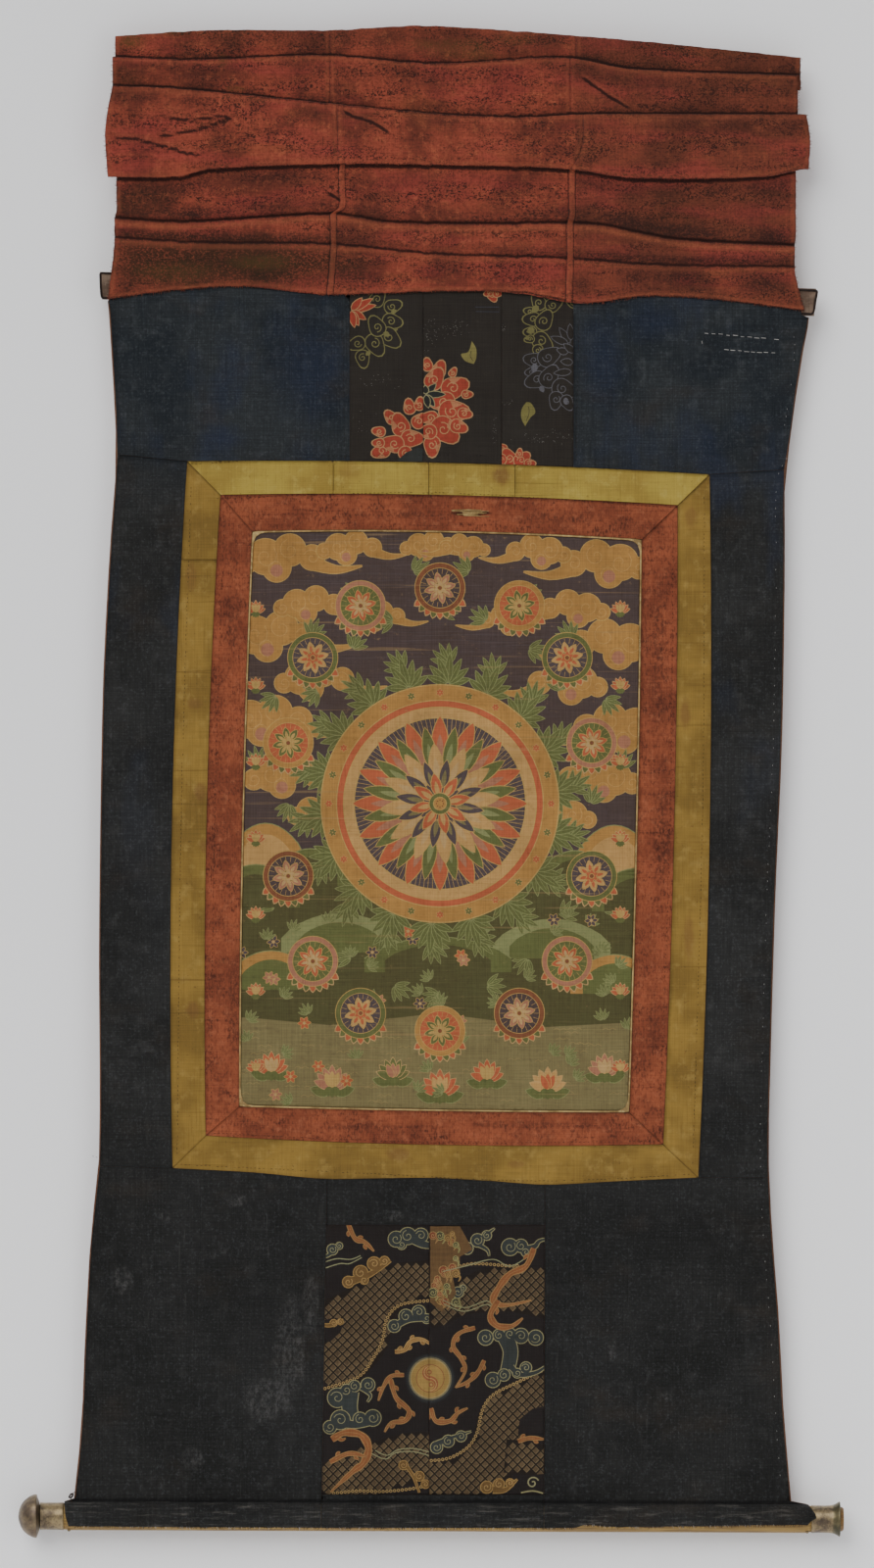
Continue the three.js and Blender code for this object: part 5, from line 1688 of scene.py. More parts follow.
def lower_half(side):
    """One half of the lower brocade; both were cut from the same figured cloth and set at odds."""
    seed, scale_bands, notches, bead_lines, clouds, ornaments, ribbons, flames = HALVES[side]
    design = Design(seed)
    for band in scale_bands:
        design.scales(LOWER(band), 9.4, SCALE_GROUND, SCALE_TONES, 2.1)
    for notch in notches:
        design.fill(LOWER(notch), LOWER_GROUND)
    for line in bead_lines:
        design.stroke(smooth_path(LOWER(line), 6), 3.4, srgb(30, 26, 24))
        design.beads(LOWER(line), 1.75, 3.9, *BEAD)
    scrolls(design, clouds, CLOUD, LOWER, 0.9)
    ornaments(design)
    for ribbon in ribbons:
        design.stroke(smooth_path(LOWER(ribbon), 6), 1.1, srgb(132, 132, 98))
    for number, (points, wide) in enumerate(flames):
        tone = TAN_FLAME if side == "left" and number == 1 else FLAME
        rows = LOWER(points)
        side_tongues(design, smooth_path(rows, 6), wide, number, tone)
        design.flame(rows, wide / (4.3 if wide < BROAD_FLAME else 3.7), *tone)
    roundel(design)
    return design


RED_FLOWER = (srgb(176, 134, 92), srgb(158, 62, 46), srgb(176, 118, 82))
OLIVE_LINE = srgb(116, 112, 68)
GREY_LINE = srgb(92, 92, 98)
UPPER_GROUND = srgb(37, 36, 34)
OLIVE_FLOWER = (OLIVE_LINE, UPPER_GROUND, None)
WORN = srgb(150, 148, 142)


def petal_at(design, x, z, tip_x, tip_z, width, colours, edge=1.1):
    """One outlined petal from a root to a tip, both in millimetres."""
    outline, body = colours
    angle = math.atan2(tip_z - z, tip_x - x)
    length = math.dist((x, z), (tip_x, tip_z))
    design.petal(x, z, angle, 0, length, width, outline)
    design.petal(x, z, angle, edge, length - 2.4 * edge, width - 2.2 * edge, body)


def lobe_at(design, x, z, radius, turn, outline, body, patch=None, edge=1.1, way=1):
    """A heart-shaped petal with a small point, its edge line, and a spiral."""
    ring = []
    for k in range(22):
        a = 2 * math.pi * k / 22
        reach = radius * (0.9 + 0.08 * math.cos(2 * a) + 0.42 * max(math.cos(a), 0) ** 6
                          + 0.1 * max(math.cos(a - 2.1), 0) ** 4 + 0.1 * max(math.cos(a + 2.1), 0) ** 4)
        ring.append((x + reach * math.cos(a + turn), z + reach * math.sin(a + turn)))
    design.fill(ring, outline)
    keep = 1 - edge / radius
    design.fill([(mix(x, u, keep), mix(z, v, keep)) for u, v in ring], body)
    if patch:
        side = [(mix(x, u, keep * 0.96), mix(z, v, keep * 0.96)) for u, v in ring[2:7]]
        design.fill(side + [(mix(x, ring[4][0], 0.3), mix(z, ring[4][1], 0.3))], patch)
    design.spiral(x, z, radius * 0.5, 1.3, turn + 2.6, edge * 0.95, outline, way, 16)


def flower(design, rows, colours, edge=1.1):
    """Overlapping lobes: (x, z, radius, turn in degrees) in the upper drawing scale."""
    outline, body, patch = colours
    for k, (x, z, radius, degrees) in enumerate(rows):
        (u, v), = UPPER([(x, z)])
        lobe_at(design, u, v, radius / UPPER_SCALE, math.radians(degrees), outline, body, patch, edge,
                1 if k % 2 else -1)


def crescent(design, points, colour, vein):
    near, far = (smooth_path(UPPER(side), 5)[:-1] for side in points)
    design.fill(near + far, colour)
    design.stroke(smooth_path(UPPER(vein), 4), 0.5, UPPER_GROUND)


def fan(design, root, tips, width, colours, edge):
    """Outlined petals from one root to several tips."""
    (x, z), = UPPER([root])
    for u, v in UPPER(tips):
        petal_at(design, x, z, u, v, width, colours, edge)


def buds(design, rows, turn, turn_by_x, long, wide, colour):
    """Single small petals at (x, z, size), turned a little further the farther right they lie."""
    for x, z, size in rows:
        (u, v), = UPPER([(x, z)])
        design.petal(u, v, turn + x * turn_by_x, -size / 6, size / long, size / wide, colour)


def worn_places(design, rows, part=2.6, size=0.45):
    """Worn specks about (x, z), over a width and height that part brings to millimetres."""
    for x, z, across, high, count in rows:
        (u, v), = UPPER([(x, z)])
        design.specks(u, v, across / part, high / part, count, WORN, size)


def left_strip(design):
    flower(design, [
        (120, 82, 36, 60), (180, 112, 34, 20), (176, 172, 38, -10), (168, 236, 44, -40),
        (110, 262, 44, -60), (60, 320, 34, -80), (40, 262, 34, 200), (120, 196, 40, 120),
    ], OLIVE_FLOWER)
    buds(design, ((184, 134, 13), (154, 222, 15), (86, 300, 13), (196, 206, 8)),
         1.2, 0.03, 2.0, 2.6, OLIVE_LINE)
    fan(design, (14, 128), ((118, 106), (104, 78), (76, 166), (46, 192), (60, 74), (28, 200)),
        8.4, RED_FLOWER[:2], 0.9)
    flower(design, [
        (252, 524, 30, 100), (292, 512, 26, 80), (290, 580, 34, 40), (178, 566, 30, 130),
        (130, 622, 26, 170), (216, 600, 44, 110), (256, 650, 42, 0), (140, 700, 36, 200),
        (190, 672, 42, 170), (236, 712, 34, 300), (128, 668, 24, 180),
    ], RED_FLOWER)
    design.fill(UPPER([(206, 736), (240, 706), (284, 688), (312, 690), (312, 760), (210, 760)]),
                srgb(42, 48, 48))
    worn_places(design, [(130, 420, 40, 14, 26)], 1.0)
    worn_places(design, [(60, 600, 16, 20, 12)], 1.0, 0.4)


def middle_strip(design):
    flower(design, [
        (326, 352, 26, 100), (372, 372, 34, 70), (352, 412, 44, 60), (428, 382, 20, 60),
        (430, 444, 52, 20), (484, 470, 22, 0), (392, 500, 48, 180), (424, 540, 56, 0),
        (474, 548, 28, -10), (338, 566, 34, 180), (390, 612, 58, -40), (448, 600, 34, -20),
        (344, 676, 40, -90), (330, 622, 36, 180),
    ], RED_FLOWER)
    fan(design, (318, 470), ((362, 424), (402, 470), (356, 522), (316, 430), (330, 528)),
        8.0, (srgb(140, 132, 96), srgb(30, 36, 36)), 0.9)
    crescent(design, ([(506, 252), (524, 284), (524, 322), (514, 346)],
                      [(514, 346), (480, 334), (462, 306), (492, 296), (506, 252)]),
             srgb(124, 116, 66), [(504, 292), (500, 314), (512, 334)])
    flower(design, [(588, 66, 24, -60), (576, 56, 18, 200), (608, 60, 18, 0)], RED_FLOWER, 0.9)
    design.stroke(UPPER([(520, 114), (616, 114), (618, 134), (522, 132)]), 0.9, srgb(52, 56, 66))
    worn_places(design, ((430, 200, 60, 30, 46), (330, 220, 40, 40, 46), (300, 300, 26, 34, 26),
                         (600, 620, 8, 60, 20)))


def right_strip(design):
    flower(design, [
        (780, 96, 34, 120), (836, 106, 34, 30), (744, 132, 22, 170), (756, 164, 34, 180),
        (800, 172, 40, 60), (748, 216, 26, 180), (790, 252, 42, -40), (744, 244, 20, 190),
        (776, 290, 26, -80),
    ], OLIVE_FLOWER)
    buds(design, ((770, 118, 17), (752, 208, 17), (736, 240, 10), (792, 288, 9)),
         1.0, 0.02, 1.9, 2.4, OLIVE_LINE)
    flower(design, [
        (760, 330, 34, 170), (816, 318, 44, 30), (750, 378, 22, 190), (772, 410, 40, 200),
        (820, 402, 44, 60), (876, 446, 46, -20), (850, 490, 34, -100), (894, 500, 30, -60),
    ], (GREY_LINE, UPPER_GROUND, None), 0.8)
    for root, tip in (((908, 262), (862, 196)), ((900, 262), (826, 234)), ((900, 300), (850, 286)),
                      ((920, 340), (866, 334)), ((914, 376), (838, 384)), ((912, 250), (906, 180)),
                      ((926, 300), (880, 262))):
        fan(design, root, [tip], 8.0, (GREY_LINE, UPPER_GROUND), 0.7)
    buds(design, ((764, 356, 18), (790, 444, 14), (890, 492, 14)), 0.6, 1.0, 1.9, 2.6, GREY_LINE)
    crescent(design, ([(728, 502), (710, 530), (708, 566), (724, 600)],
                      [(724, 600), (744, 566), (766, 542), (748, 506), (728, 502)]),
             srgb(118, 112, 62), [(738, 520), (740, 546), (728, 580)])
    flower(design, [(632, 690, 22, 150), (660, 730, 34, 120), (708, 738, 34, 40), (700, 712, 18, 80),
                    (740, 752, 22, 0), (624, 736, 26, 200)], RED_FLOWER, 0.9)
    flower(design, [(920, 92, 30, 150)], OLIVE_FLOWER)
    worn_places(design, ((860, 640, 60, 30, 30), (760, 650, 60, 24, 18), (650, 500, 14, 18, 8),
                         (630, 200, 14, 20, 10)))


def upper_strip(number):
    """One of the three upper brocade strips, cut from a cloth with large worn flowers."""
    design = Design(20 + number)
    (left_strip, middle_strip, right_strip)[number](design)
    return design

# Painting: a lotus rosette among cloud, hill and water bands, generic throughout

NAVY = srgb(30, 32, 54)
NIGHT = srgb(42, 46, 66)
GREEN = srgb(72, 92, 50)
DEEP_GREEN = srgb(42, 60, 36)
PALE_GREEN = srgb(118, 130, 84)
OCHRE = srgb(168, 122, 62)
TAN = srgb(186, 144, 86)
PALE_TAN = srgb(184, 150, 100)
CORAL = srgb(176, 80, 54)
ROSE = srgb(160, 104, 84)
RUST = srgb(112, 58, 42)
GOLD = srgb(182, 148, 84)
WATER = srgb(108, 104, 70)


def hill(design, x, z, wide, high, body, shade):
    """A rounded hill with a lit rim and a shaded foot."""
    top = [(x - wide / 2 + wide * t / 12, z + high * math.sin(math.pi * t / 12) ** 0.7) for t in range(13)]
    foot = [(x + wide / 2, z - 14), (x - wide / 2, z - 14)]
    design.fill(foot[::-1] + top[::-1], body)
    design.stroke(top, 1.0, PALE_GREEN)
    inner = [(mix(x, u, 0.72), mix(z - 6, v, 0.72)) for u, v in top]
    design.fill([(x + wide * 0.36, z - 14), *inner[::-1], (x - wide * 0.36, z - 14)], shade)


def spoke(design, x, z, angle, inner, outer, width, colour, lean=0.0):
    """A straight line outward from a centre, its outer end leant a little round."""
    design.stroke([(x + inner * math.cos(angle), z + inner * math.sin(angle)),
                   (x + outer * math.cos(angle + lean), z + outer * math.sin(angle + lean))],
                  width, colour)


def leaf_spray(design, x, z, angle, size, count=7):
    """Pointed leaves fanned from one stem."""
    for k in range(count):
        turn = angle + (k - (count - 1) / 2) * 0.42
        long = size * (1 - 0.09 * abs(k - (count - 1) / 2))
        design.petal(x, z, turn, 1, long, size * 0.27, PALE_GREEN)
        design.petal(x, z, turn, 2, long - 2.4, size * 0.27 - 1.6, GREEN)
        spoke(design, x, z, turn, 2, long * 0.8, 0.5, PALE_GREEN)


def lotus(design, x, z, size, outer, inner):
    """An open lotus seen from the side, on a curved row of seat petals."""
    for k in range(-3, 4):
        angle = math.pi / 2 + k * 0.4
        length = size * (1 - 0.05 * abs(k))
        design.petal(x, z, angle, 0, length, size * 0.42, PALE_TAN)
        design.petal(x, z, angle, 0.6, length - 1.5, size * 0.42 - 1.4, outer)
    for k in range(-1, 2):
        angle = math.pi / 2 + k * 0.42
        design.petal(x, z, angle, 0, size * 0.72, size * 0.34, GOLD)
        design.petal(x, z, angle, 0.5, size * 0.72 - 1.2, size * 0.34 - 1.1, inner)
    for k in range(-2, 3):
        design.petal(x, z, -math.pi / 2 + k * 0.5, 0, size * 0.42, size * 0.3, GREEN)


def medallion(design, x, z, radius, kind):
    """A small ringed rosette on a lotus, in one of four colourings."""
    rings = [(ROSE, GREEN, CORAL, PALE_TAN), (GREEN, NIGHT, TAN, CORAL), (OCHRE, CORAL, GREEN, GOLD),
             (RUST, NAVY, ROSE, PALE_TAN)][kind % 4]
    for k in range(9):
        angle = -math.pi / 2 + (k - 4) * 0.24
        design.petal(x, z, angle, radius * 0.75, radius * 0.5, radius * 0.34, PALE_TAN)
        design.petal(x, z, angle, radius * 0.78, radius * 0.42, radius * 0.26, (CORAL, GREEN)[k % 2])
    design.rings(x, z, [(radius, GOLD), (radius - 0.7, rings[0]), (radius * 0.8, GOLD),
                        (radius * 0.8 - 0.6, rings[1])])
    for k in range(22):
        spoke(design, x, z, 2 * math.pi * k / 22, radius * 0.56, radius * 0.76, 0.35, GOLD)
    design.petals(x, z, 8, radius * 0.16, radius * 0.48, radius * 0.3, (GOLD, rings[2], rings[3]),
                  0.2, 0.6)
    design.petals(x, z, 6, 0, radius * 0.28, radius * 0.2, (GOLD, rings[3], None), 0.5, 0.45)
    design.rings(x, z, [(radius * 0.11, GOLD), (radius * 0.11 - 0.7, RUST)], 10)


def cloud_bank(design, x, z, size, flip=1):
    """A generic curling cloud in ochre, with a rose underside."""
    def at(along, up):
        return (x + flip * size * along, z + size * up)

    lobes = [(*at(along, up), size * share) for along, up, share in (
        (0, 0, 1), (1.3, 0.35, 0.9), (2.5, -0.05, 0.72), (-1.0, -0.3, 0.62), (0.6, -0.6, 0.8))]
    tail = smooth_path([at(2.4, -0.3), at(3.8, -0.7), at(5.2, -0.5)], 5)
    design.cloud(lobes, [(tail, size * 0.9, size * 0.1)], GOLD, OCHRE, TAN, 0.8)
    design.disc(*at(0.6, -0.75), size * 0.34, ROSE)


# Middle of the rosette, and half the width that the grounds reach past the painting
CENTRE_X, CENTRE_Z = -18, -792
FAR = 240


def sky(design):
    design.fill([(-FAR, -1160), (FAR, -1160), (FAR, -480), (-FAR, -480)], NAVY)
    for k in range(26):
        level = -512 - k * 5.2
        reach = 60 + 60 * design.random.random()
        mid = design.random.uniform(-190, 170)
        line = [(mid - reach, level), (mid - reach / 3, level + 1.6), (mid + reach / 3, level - 1.2),
                (mid + reach, level)]
        design.stroke(smooth_path(line, 5), 0.8, NIGHT)
    for x, z, size, flip in (
        (-196, -540, 19, 1), (166, -546, 19, -1), (-122, -530, 14, 1), (94, -534, 14, -1),
        (-206, -620, 20, 1), (176, -628, 20, -1), (-40, -528, 12, 1), (16, -530, 11, -1),
        (-164, -588, 15, 1), (132, -592, 15, -1), (-212, -706, 20, 1), (182, -714, 20, -1),
        (-160, -664, 17, 1), (126, -668, 17, -1), (-190, -762, 18, 1), (160, -766, 18, -1),
        (-92, -600, 12, 1), (60, -604, 12, -1), (-150, -800, 15, 1), (118, -804, 15, -1),
    ):
        cloud_bank(design, x, z, size, flip)


def land(design):
    design.fill([(-FAR, -1160), (FAR, -1160), (FAR, -858), (110, -866), (0, -872), (-120, -864),
                 (-FAR, -856)], DEEP_GREEN)
    for k in range(40):
        angle = 2 * math.pi * (k % 20) / 20 + 0.15 * (k // 20)
        reach = 150 + 34 * (k // 20)
        x, z = CENTRE_X + reach * 1.02 * math.cos(angle), CENTRE_Z + 1.3 * reach * math.sin(angle)
        leaf_spray(design, x, z, angle + 1.2 * (-1) ** k, 20, 5)
    for x, z, wide, high, body, shade in (
        (-196, -846, 80, 34, OCHRE, TAN), (160, -850, 84, 36, OCHRE, TAN),
        (-150, -862, 76, 24, GREEN, DEEP_GREEN), (120, -866, 80, 26, GREEN, DEEP_GREEN),
        (-206, -884, 90, 30, GREEN, DEEP_GREEN),
        (182, -888, 90, 30, GREEN, DEEP_GREEN), (-120, -930, 120, 26, PALE_GREEN, GREEN),
        (96, -936, 120, 26, PALE_GREEN, GREEN), (-20, -950, 150, 22, GREEN, DEEP_GREEN),
        (-190, -968, 90, 26, OCHRE, GREEN), (160, -972, 90, 26, OCHRE, GREEN),
    ):
        hill(design, x, z, wide, high, body, shade)


def pool(design):
    design.fill([(-FAR, -1160), (FAR, -1160), (FAR, -1012), (90, -1020), (-20, -1006), (-130, -1018),
                 (-FAR, -1008)], WATER)
    for _ in range(70):
        x, z = design.random.uniform(-220, 180), design.random.uniform(-1100, -1022)
        arc = [(x - 7, z), (x - 3.5, z + 1.8), (x, z), (x + 3.5, z + 1.8), (x + 7, z)]
        design.stroke(smooth_path(arc, 3), 0.6, srgb(136, 122, 78))
    for x, z, size, outer, inner in (
        (-190, -1066, 22, CORAL, PALE_TAN), (-128, -1082, 24, ROSE, GOLD),
        (-66, -1072, 22, GREEN, ROSE), (30, -1074, 22, CORAL, GOLD), (92, -1084, 24, TAN, CORAL),
        (150, -1068, 22, ROSE, PALE_TAN),
        (-18, -1088, 26, CORAL, TAN),
    ):
        for turn in (-0.5, 0.5):
            root, angle = x + turn * 20, math.pi / 2 - turn * 2.6
            design.petal(root, z - 4, angle, -8, size * 0.9, size * 0.5, PALE_GREEN)
            design.petal(root, z - 4, angle, -7, size * 0.9 - 2, size * 0.5 - 1.6, GREEN)
        lotus(design, x, z, size, outer, inner)


def undergrowth(design):
    for k in range(64):
        x, z = design.random.uniform(-222, 184), design.random.uniform(-1100, -905)
        if k % 3:
            leaf_spray(design, x, z, design.random.uniform(0.4, 2.7), 13, 5)
        else:
            body = (CORAL, ROSE, NIGHT)[k % 9 // 3]
            design.petals(x, z, 6, 0.8, 6.4, 4.4, (GOLD, body, None), k * 0.7, 0.5)
            design.disc(x, z, 1.3, PALE_TAN, 8)


def about_centre(angle, across, up):
    return CENTRE_X + across * math.cos(angle), CENTRE_Z + up * math.sin(angle)


def rosette(design):
    for degrees in range(0, 360, 20):
        turn = math.radians(degrees + 6)
        leaf_spray(design, *about_centre(turn, 134, 142), turn + 0.5, 24, 5)
        leaf_spray(design, *about_centre(turn, 116, 122), turn, 32)
    centre = (CENTRE_X, CENTRE_Z)
    design.rings(*centre, [(122, GOLD), (120.8, OCHRE), (106, GOLD), (105, CORAL), (99, GOLD),
                           (98, TAN), (88, GOLD), (87, NIGHT)], 72)
    for k in range(120):
        spoke(design, *centre, 2 * math.pi * k / 120, 72, 96 if k % 2 else 90, 0.4, GOLD, 0.02)
    for k in range(24):
        angle = 2 * math.pi * k / 24
        colours = (TAN, (CORAL, GREEN)[k % 2], None)
        design.petals(*about_centre(angle, 113.4, 113.4), 6, 0, 4.6, 3.2, colours, angle, 0.5)
    # Petals: how many, where they start, length, width, colours, turn and edge
    for ring in (
        (16, 40, 50, 19, (GOLD, CORAL, ROSE), 0.0, 0.9),
        (16, 34, 46, 15, (GOLD, GREEN, PALE_GREEN), math.pi / 16, 0.9),
        (12, 22, 40, 16, (GOLD, TAN, PALE_TAN), 0.1, 0.9),
        (12, 16, 30, 12, (GOLD, NIGHT, WATER), 0.36, 0.8),
        (8, 8, 24, 12, (GOLD, CORAL, TAN), 0.2, 0.8),
    ):
        design.petals(*centre, *ring)
    design.rings(*centre, [(11.5, GOLD), (10.6, GREEN), (7, GOLD), (6.2, OCHRE)], 26)
    for k in range(8):
        design.disc(*about_centre(2 * math.pi * k / 8, 3.6, 3.6), 0.8, RUST, 8)


def surround(design):
    """Ringed rosettes on a rounded box about the middle, and a column of lotuses at each side."""
    for k in range(14):
        angle = 2 * math.pi * (k + 0.5) / 14
        x = CENTRE_X + 158 * math.copysign(abs(math.cos(angle)) ** 0.8, math.cos(angle))
        z = CENTRE_Z - 6 + 226 * math.copysign(abs(math.sin(angle)) ** 0.8, math.sin(angle))
        medallion(design, x, z, 26, k)
    for side in (-1, 1):
        x = -20 + side * 186
        for level in range(-1085, -540, 78):
            lotus(design, x, level + 20, 13, CORAL, GOLD)


def painting_design():
    design = Design(7)
    for layer in (sky, land, pool, undergrowth, rosette, surround):
        layer(design)
    return design

# Pieces

BLUE = blue_cotton()
YELLOW_SIDE = yellow_silk("yellow silk", (112, 88, 40), (136, 108, 50), (150, 124, 66), 0.0)
YELLOW_TOP = yellow_silk("paler yellow silk", (140, 116, 52), (160, 138, 62), (174, 154, 80), 5.0)
RED_SILK = red_silk()
VEIL_SILK = veil_silk()
LINING = brown_lining()
COVER = tan_cover()
DARK_STRAND = ("dark sewing thread", ((26, 20, 18), (40, 30, 26), (64, 50, 42)), 12, 3, 0.6, 0.15)
THREAD = strand(*DARK_STRAND, roughness=0.85, specular=0.2)
PALE_THREAD = strand("pale sewing thread", ((128, 126, 124), (158, 156, 152), (184, 182, 176)),
                     12, 3, 0.5, 0.12, roughness=0.85, specular=0.2)
PIPING = strand("gold piping", ((120, 94, 50), (164, 136, 82), (192, 166, 112)),
                20, 4, 1.1, 0.3, 0.5, roughness=0.6, sheen=0.1, specular=0.35)
BROCADE = figured("brocade", 0.82, 0.8, 0.22, (76, 66, 54), (60, 48, 36), 0.2)
PAINTING = figured("painted canvas", 0.9, 0.9, 0.4, (150, 122, 82), (124, 98, 62), 0.26, 0.3)
WOOD = turned_wood()
BRASS = old_brass()

# Each cloth's cut size in metres, with the wrap at the roller and the hidden pleats laid flat
VEIL_CUTS = {"veil_left": (0.225, 0.366), "veil_middle": (0.249, 0.372), "veil_right": (0.24, 0.366)}
PLAIN_CUTS = {
    "top_blue_left": (0.24, 0.19), "top_blue_right": (0.235, 0.19),
    "side_blue_left": (0.09, 0.72), "side_blue_right": (0.087, 0.72),
    "yellow_top_1": (0.15, 0.036), "yellow_top_2": (0.098, 0.036), "yellow_top_3": (0.088, 0.036),
    "yellow_top_4": (0.2, 0.036), "yellow_left_1": (0.036, 0.102), "yellow_left_2": (0.036, 0.622),
    "yellow_right": (0.036, 0.72), "yellow_bottom": (0.537, 0.038),
    "red_top": (0.467, 0.04), "red_left": (0.036, 0.654), "red_right": (0.038, 0.652),
    "red_bottom": (0.467, 0.034), "strip_above_brocade": (0.222, 0.045),
    "strip_below_brocade": (0.216, 0.042), "lower_blue_left": (0.25, 0.38),
    "lower_blue_right": (0.25, 0.38), "lining": (0.76, 1.3),
}

for number, (node, cut) in enumerate(VEIL_CUTS.items()):
    cloth = dress(veil_cloth(node + "_silk", number), VEIL_SILK, "veil_silk", node)


def fraying(name, lines, count, long, seed, material, slot="veil_silk"):
    """Short loose threads along raw edges; lines hold points (x, y, z) and an outward tilt."""
    loose = random.Random(seed)
    bundle = Bundle()
    for points, out_x, out_z in lines:
        path = [Vector(p) for p in points]
        length = sum((b - a).length for a, b in zip(path, path[1:]))
        for _ in range(int(count * length / 100)):
            reach = loose.random() * length
            i = 0
            while i < len(path) - 2 and reach > (path[i + 1] - path[i]).length:
                reach -= (path[i + 1] - path[i]).length
                i += 1
            span = max((path[i + 1] - path[i]).length, 1e-3)
            root = path[i].lerp(path[i + 1], min(reach / span, 1.0))
            size = long * loose.uniform(0.4, 1.3)
            lean = loose.uniform(-0.9, 0.9)
            tip = root + Vector((out_x * size + lean * abs(out_z) * size * 0.8,
                                 -loose.uniform(0.1, 0.7),
                                 out_z * size + lean * abs(out_x) * size * 0.8))
            inside = root - Vector((out_x, 0, out_z)) * 1.2
            bend = Vector((loose.uniform(-0.4, 0.4), 0, loose.uniform(-0.4, 0.4)))
            middle = root.lerp(tip, 0.55) + bend
            bundle.tube([inside, root, middle, tip], [0.2, 0.18, 0.15, 0.08], 4)
    return bundle.piece(name, material, slot)


def veil_edge(line, depth, drop, first, last, step=6):
    """Points on one crosswise edge of the veil, a little in front of its cloth."""
    count = int((last - first) / step)
    rows = []
    for i in range(count + 1):
        x = mix(first, last, i / count)
        z = line(x) + drop + edge_wander(x)
        rows.append((x, depth + lift_of(x) + veil_relief(x, z, False), z))
    return rows


FRAYED = strand("frayed silk thread", ((70, 32, 22), (126, 62, 44), (160, 96, 62)),
                9, 3, 0.6, 0.1, roughness=0.8, specular=0.15)
SOOTY = strand(*DARK_STRAND, roughness=0.85, specular=0.2)
band_edge = veil_edge(THIRD_FOLD, layer_depth(4) + 0.2, 0.6, -356, 357)
hem_edge = veil_edge(VEIL_HEM, layer_depth(2) - 0.4, 0.4, -356, 353)
band_top = veil_edge(SECOND_FOLD, layer_depth(4) + 0.4, -0.6, -351, 355)
first_top = veil_edge(FIRST_FOLD, layer_depth(2) + 0.4, -0.6, -351, 346)
sides = [([tuple(p) for p in VEIL_RIMS[0][0]], -1, 0), ([tuple(p) for p in VEIL_RIMS[2][1]], 1, 0)]
fraying("veil_frayed_edges", [(band_edge, 0, -1), (hem_edge, 0, -1), *sides], 46, 1.7, 3, FRAYED)
fraying("veil_sooty_edges", [(band_top, 0, 1), (first_top, 0, 1), (band_edge, 0, -1)], 40, 1.3, 4,
        SOOTY)


def plain_look(node):
    """The material and slot of a cloth without a design."""
    if node.startswith("yellow_top"):
        return YELLOW_TOP, "yellow_silk"
    if node.startswith("yellow"):
        return YELLOW_SIDE, "yellow_silk"
    if node.startswith("red"):
        return RED_SILK, "red_silk"
    if node == "lining":
        return LINING, "lining_cloth"
    return BLUE, "blue_cotton"


for node, cut in PLAIN_CUTS.items():
    material, slot_name = plain_look(node)
    levels = 2 if (node == "lining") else 3
    cloth = plain_sheet(node + "_cloth", node, levels, 1 if node == "lining" else -1)
    dress(cloth, material, slot_name, node)

FIGURED = {
    "top_brocade_left": (upper_strip(0), UPPER_GROUND, BROCADE, "brocade"),
    "top_brocade_middle": (upper_strip(1), UPPER_GROUND, BROCADE, "brocade"),
    "top_brocade_right": (upper_strip(2), UPPER_GROUND, BROCADE, "brocade"),
    "lower_brocade_left": (lower_half("left"), LOWER_GROUND, BROCADE, "brocade"),
    "lower_brocade_right": (lower_half("right"), LOWER_GROUND, BROCADE, "brocade"),
    "painting": (painting_design(), NAVY, PAINTING, "painted_canvas"),
}
for node, (design, ground, material, slot_name) in FIGURED.items():
    grid = 9.0 if (node == "painting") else 5.0
    cloth = figured_sheet(node + "_cloth", node, design.shapes, ground, grid)
    dress(cloth, material, slot_name, node)

for node, levels, dents, size, material, slot_name in (
    ("ferrule_left", 2, 0.18, 9, BRASS, "dull_brass"), ("ferrule_right", 2, 0.18, 9, BRASS, "dull_brass"),
    ("knob_left", 2, 0.12, 7, BRASS, "dull_brass"), ("roller", 1, 0.1, 14, WOOD, "turned_wood"),
):
    dress(finer(node + "_turned", node, levels, dents, size), material, slot_name, node)

cord = finer("gold_piping_cord", "gold_piping", 2, 0.06, 3)
for vert in cord.data.vertices:
    place = vert.co / MM
    vert.co.y += MM * body_relief(place.x, place.z)
dress(cord, PIPING, "gold_piping", "gold_piping")
cover = finer("top_batten_cover", "top_batten", 3, 0.35, 14, 1.0)
dress(cover, COVER, "batten_cover", "top_batten")

# Sewing and small fittings

# Distance from the roller's axis to just outside the cloth on it
ON_ROLLER = 15.8


def stitched(bundle, points, long, pitch, radius, seed, lost=0.1, raised=0.25):
    """Running stitches along a line of (x, z) points on the body cloth."""
    worker = random.Random(seed)
    line = [Vector(p) for p in smooth_path(points, 6)]
    reach, target = 0.0, 0.0
    for a, b in zip(line, line[1:]):
        span = (b - a).length
        while target < reach + span:
            at = a.lerp(b, (target - reach) / span)
            ahead = (b - a).normalized()
            if worker.random() > lost:
                half = long / 2 * worker.uniform(0.75, 1.2)
                off = Vector((-ahead.y, ahead.x)) * worker.uniform(-0.35, 0.35)
                path = []
                for t in (-1, -0.5, 0, 0.5, 1):
                    x, z = at + ahead * half * t + off
                    path.append((x, front_y(x, z, 9) - CLOTH / 2 - raised * (1 - t * t), z))
                bundle.tube(path, radius, 5)
            target += pitch * worker.uniform(0.9, 1.1)
        reach += span


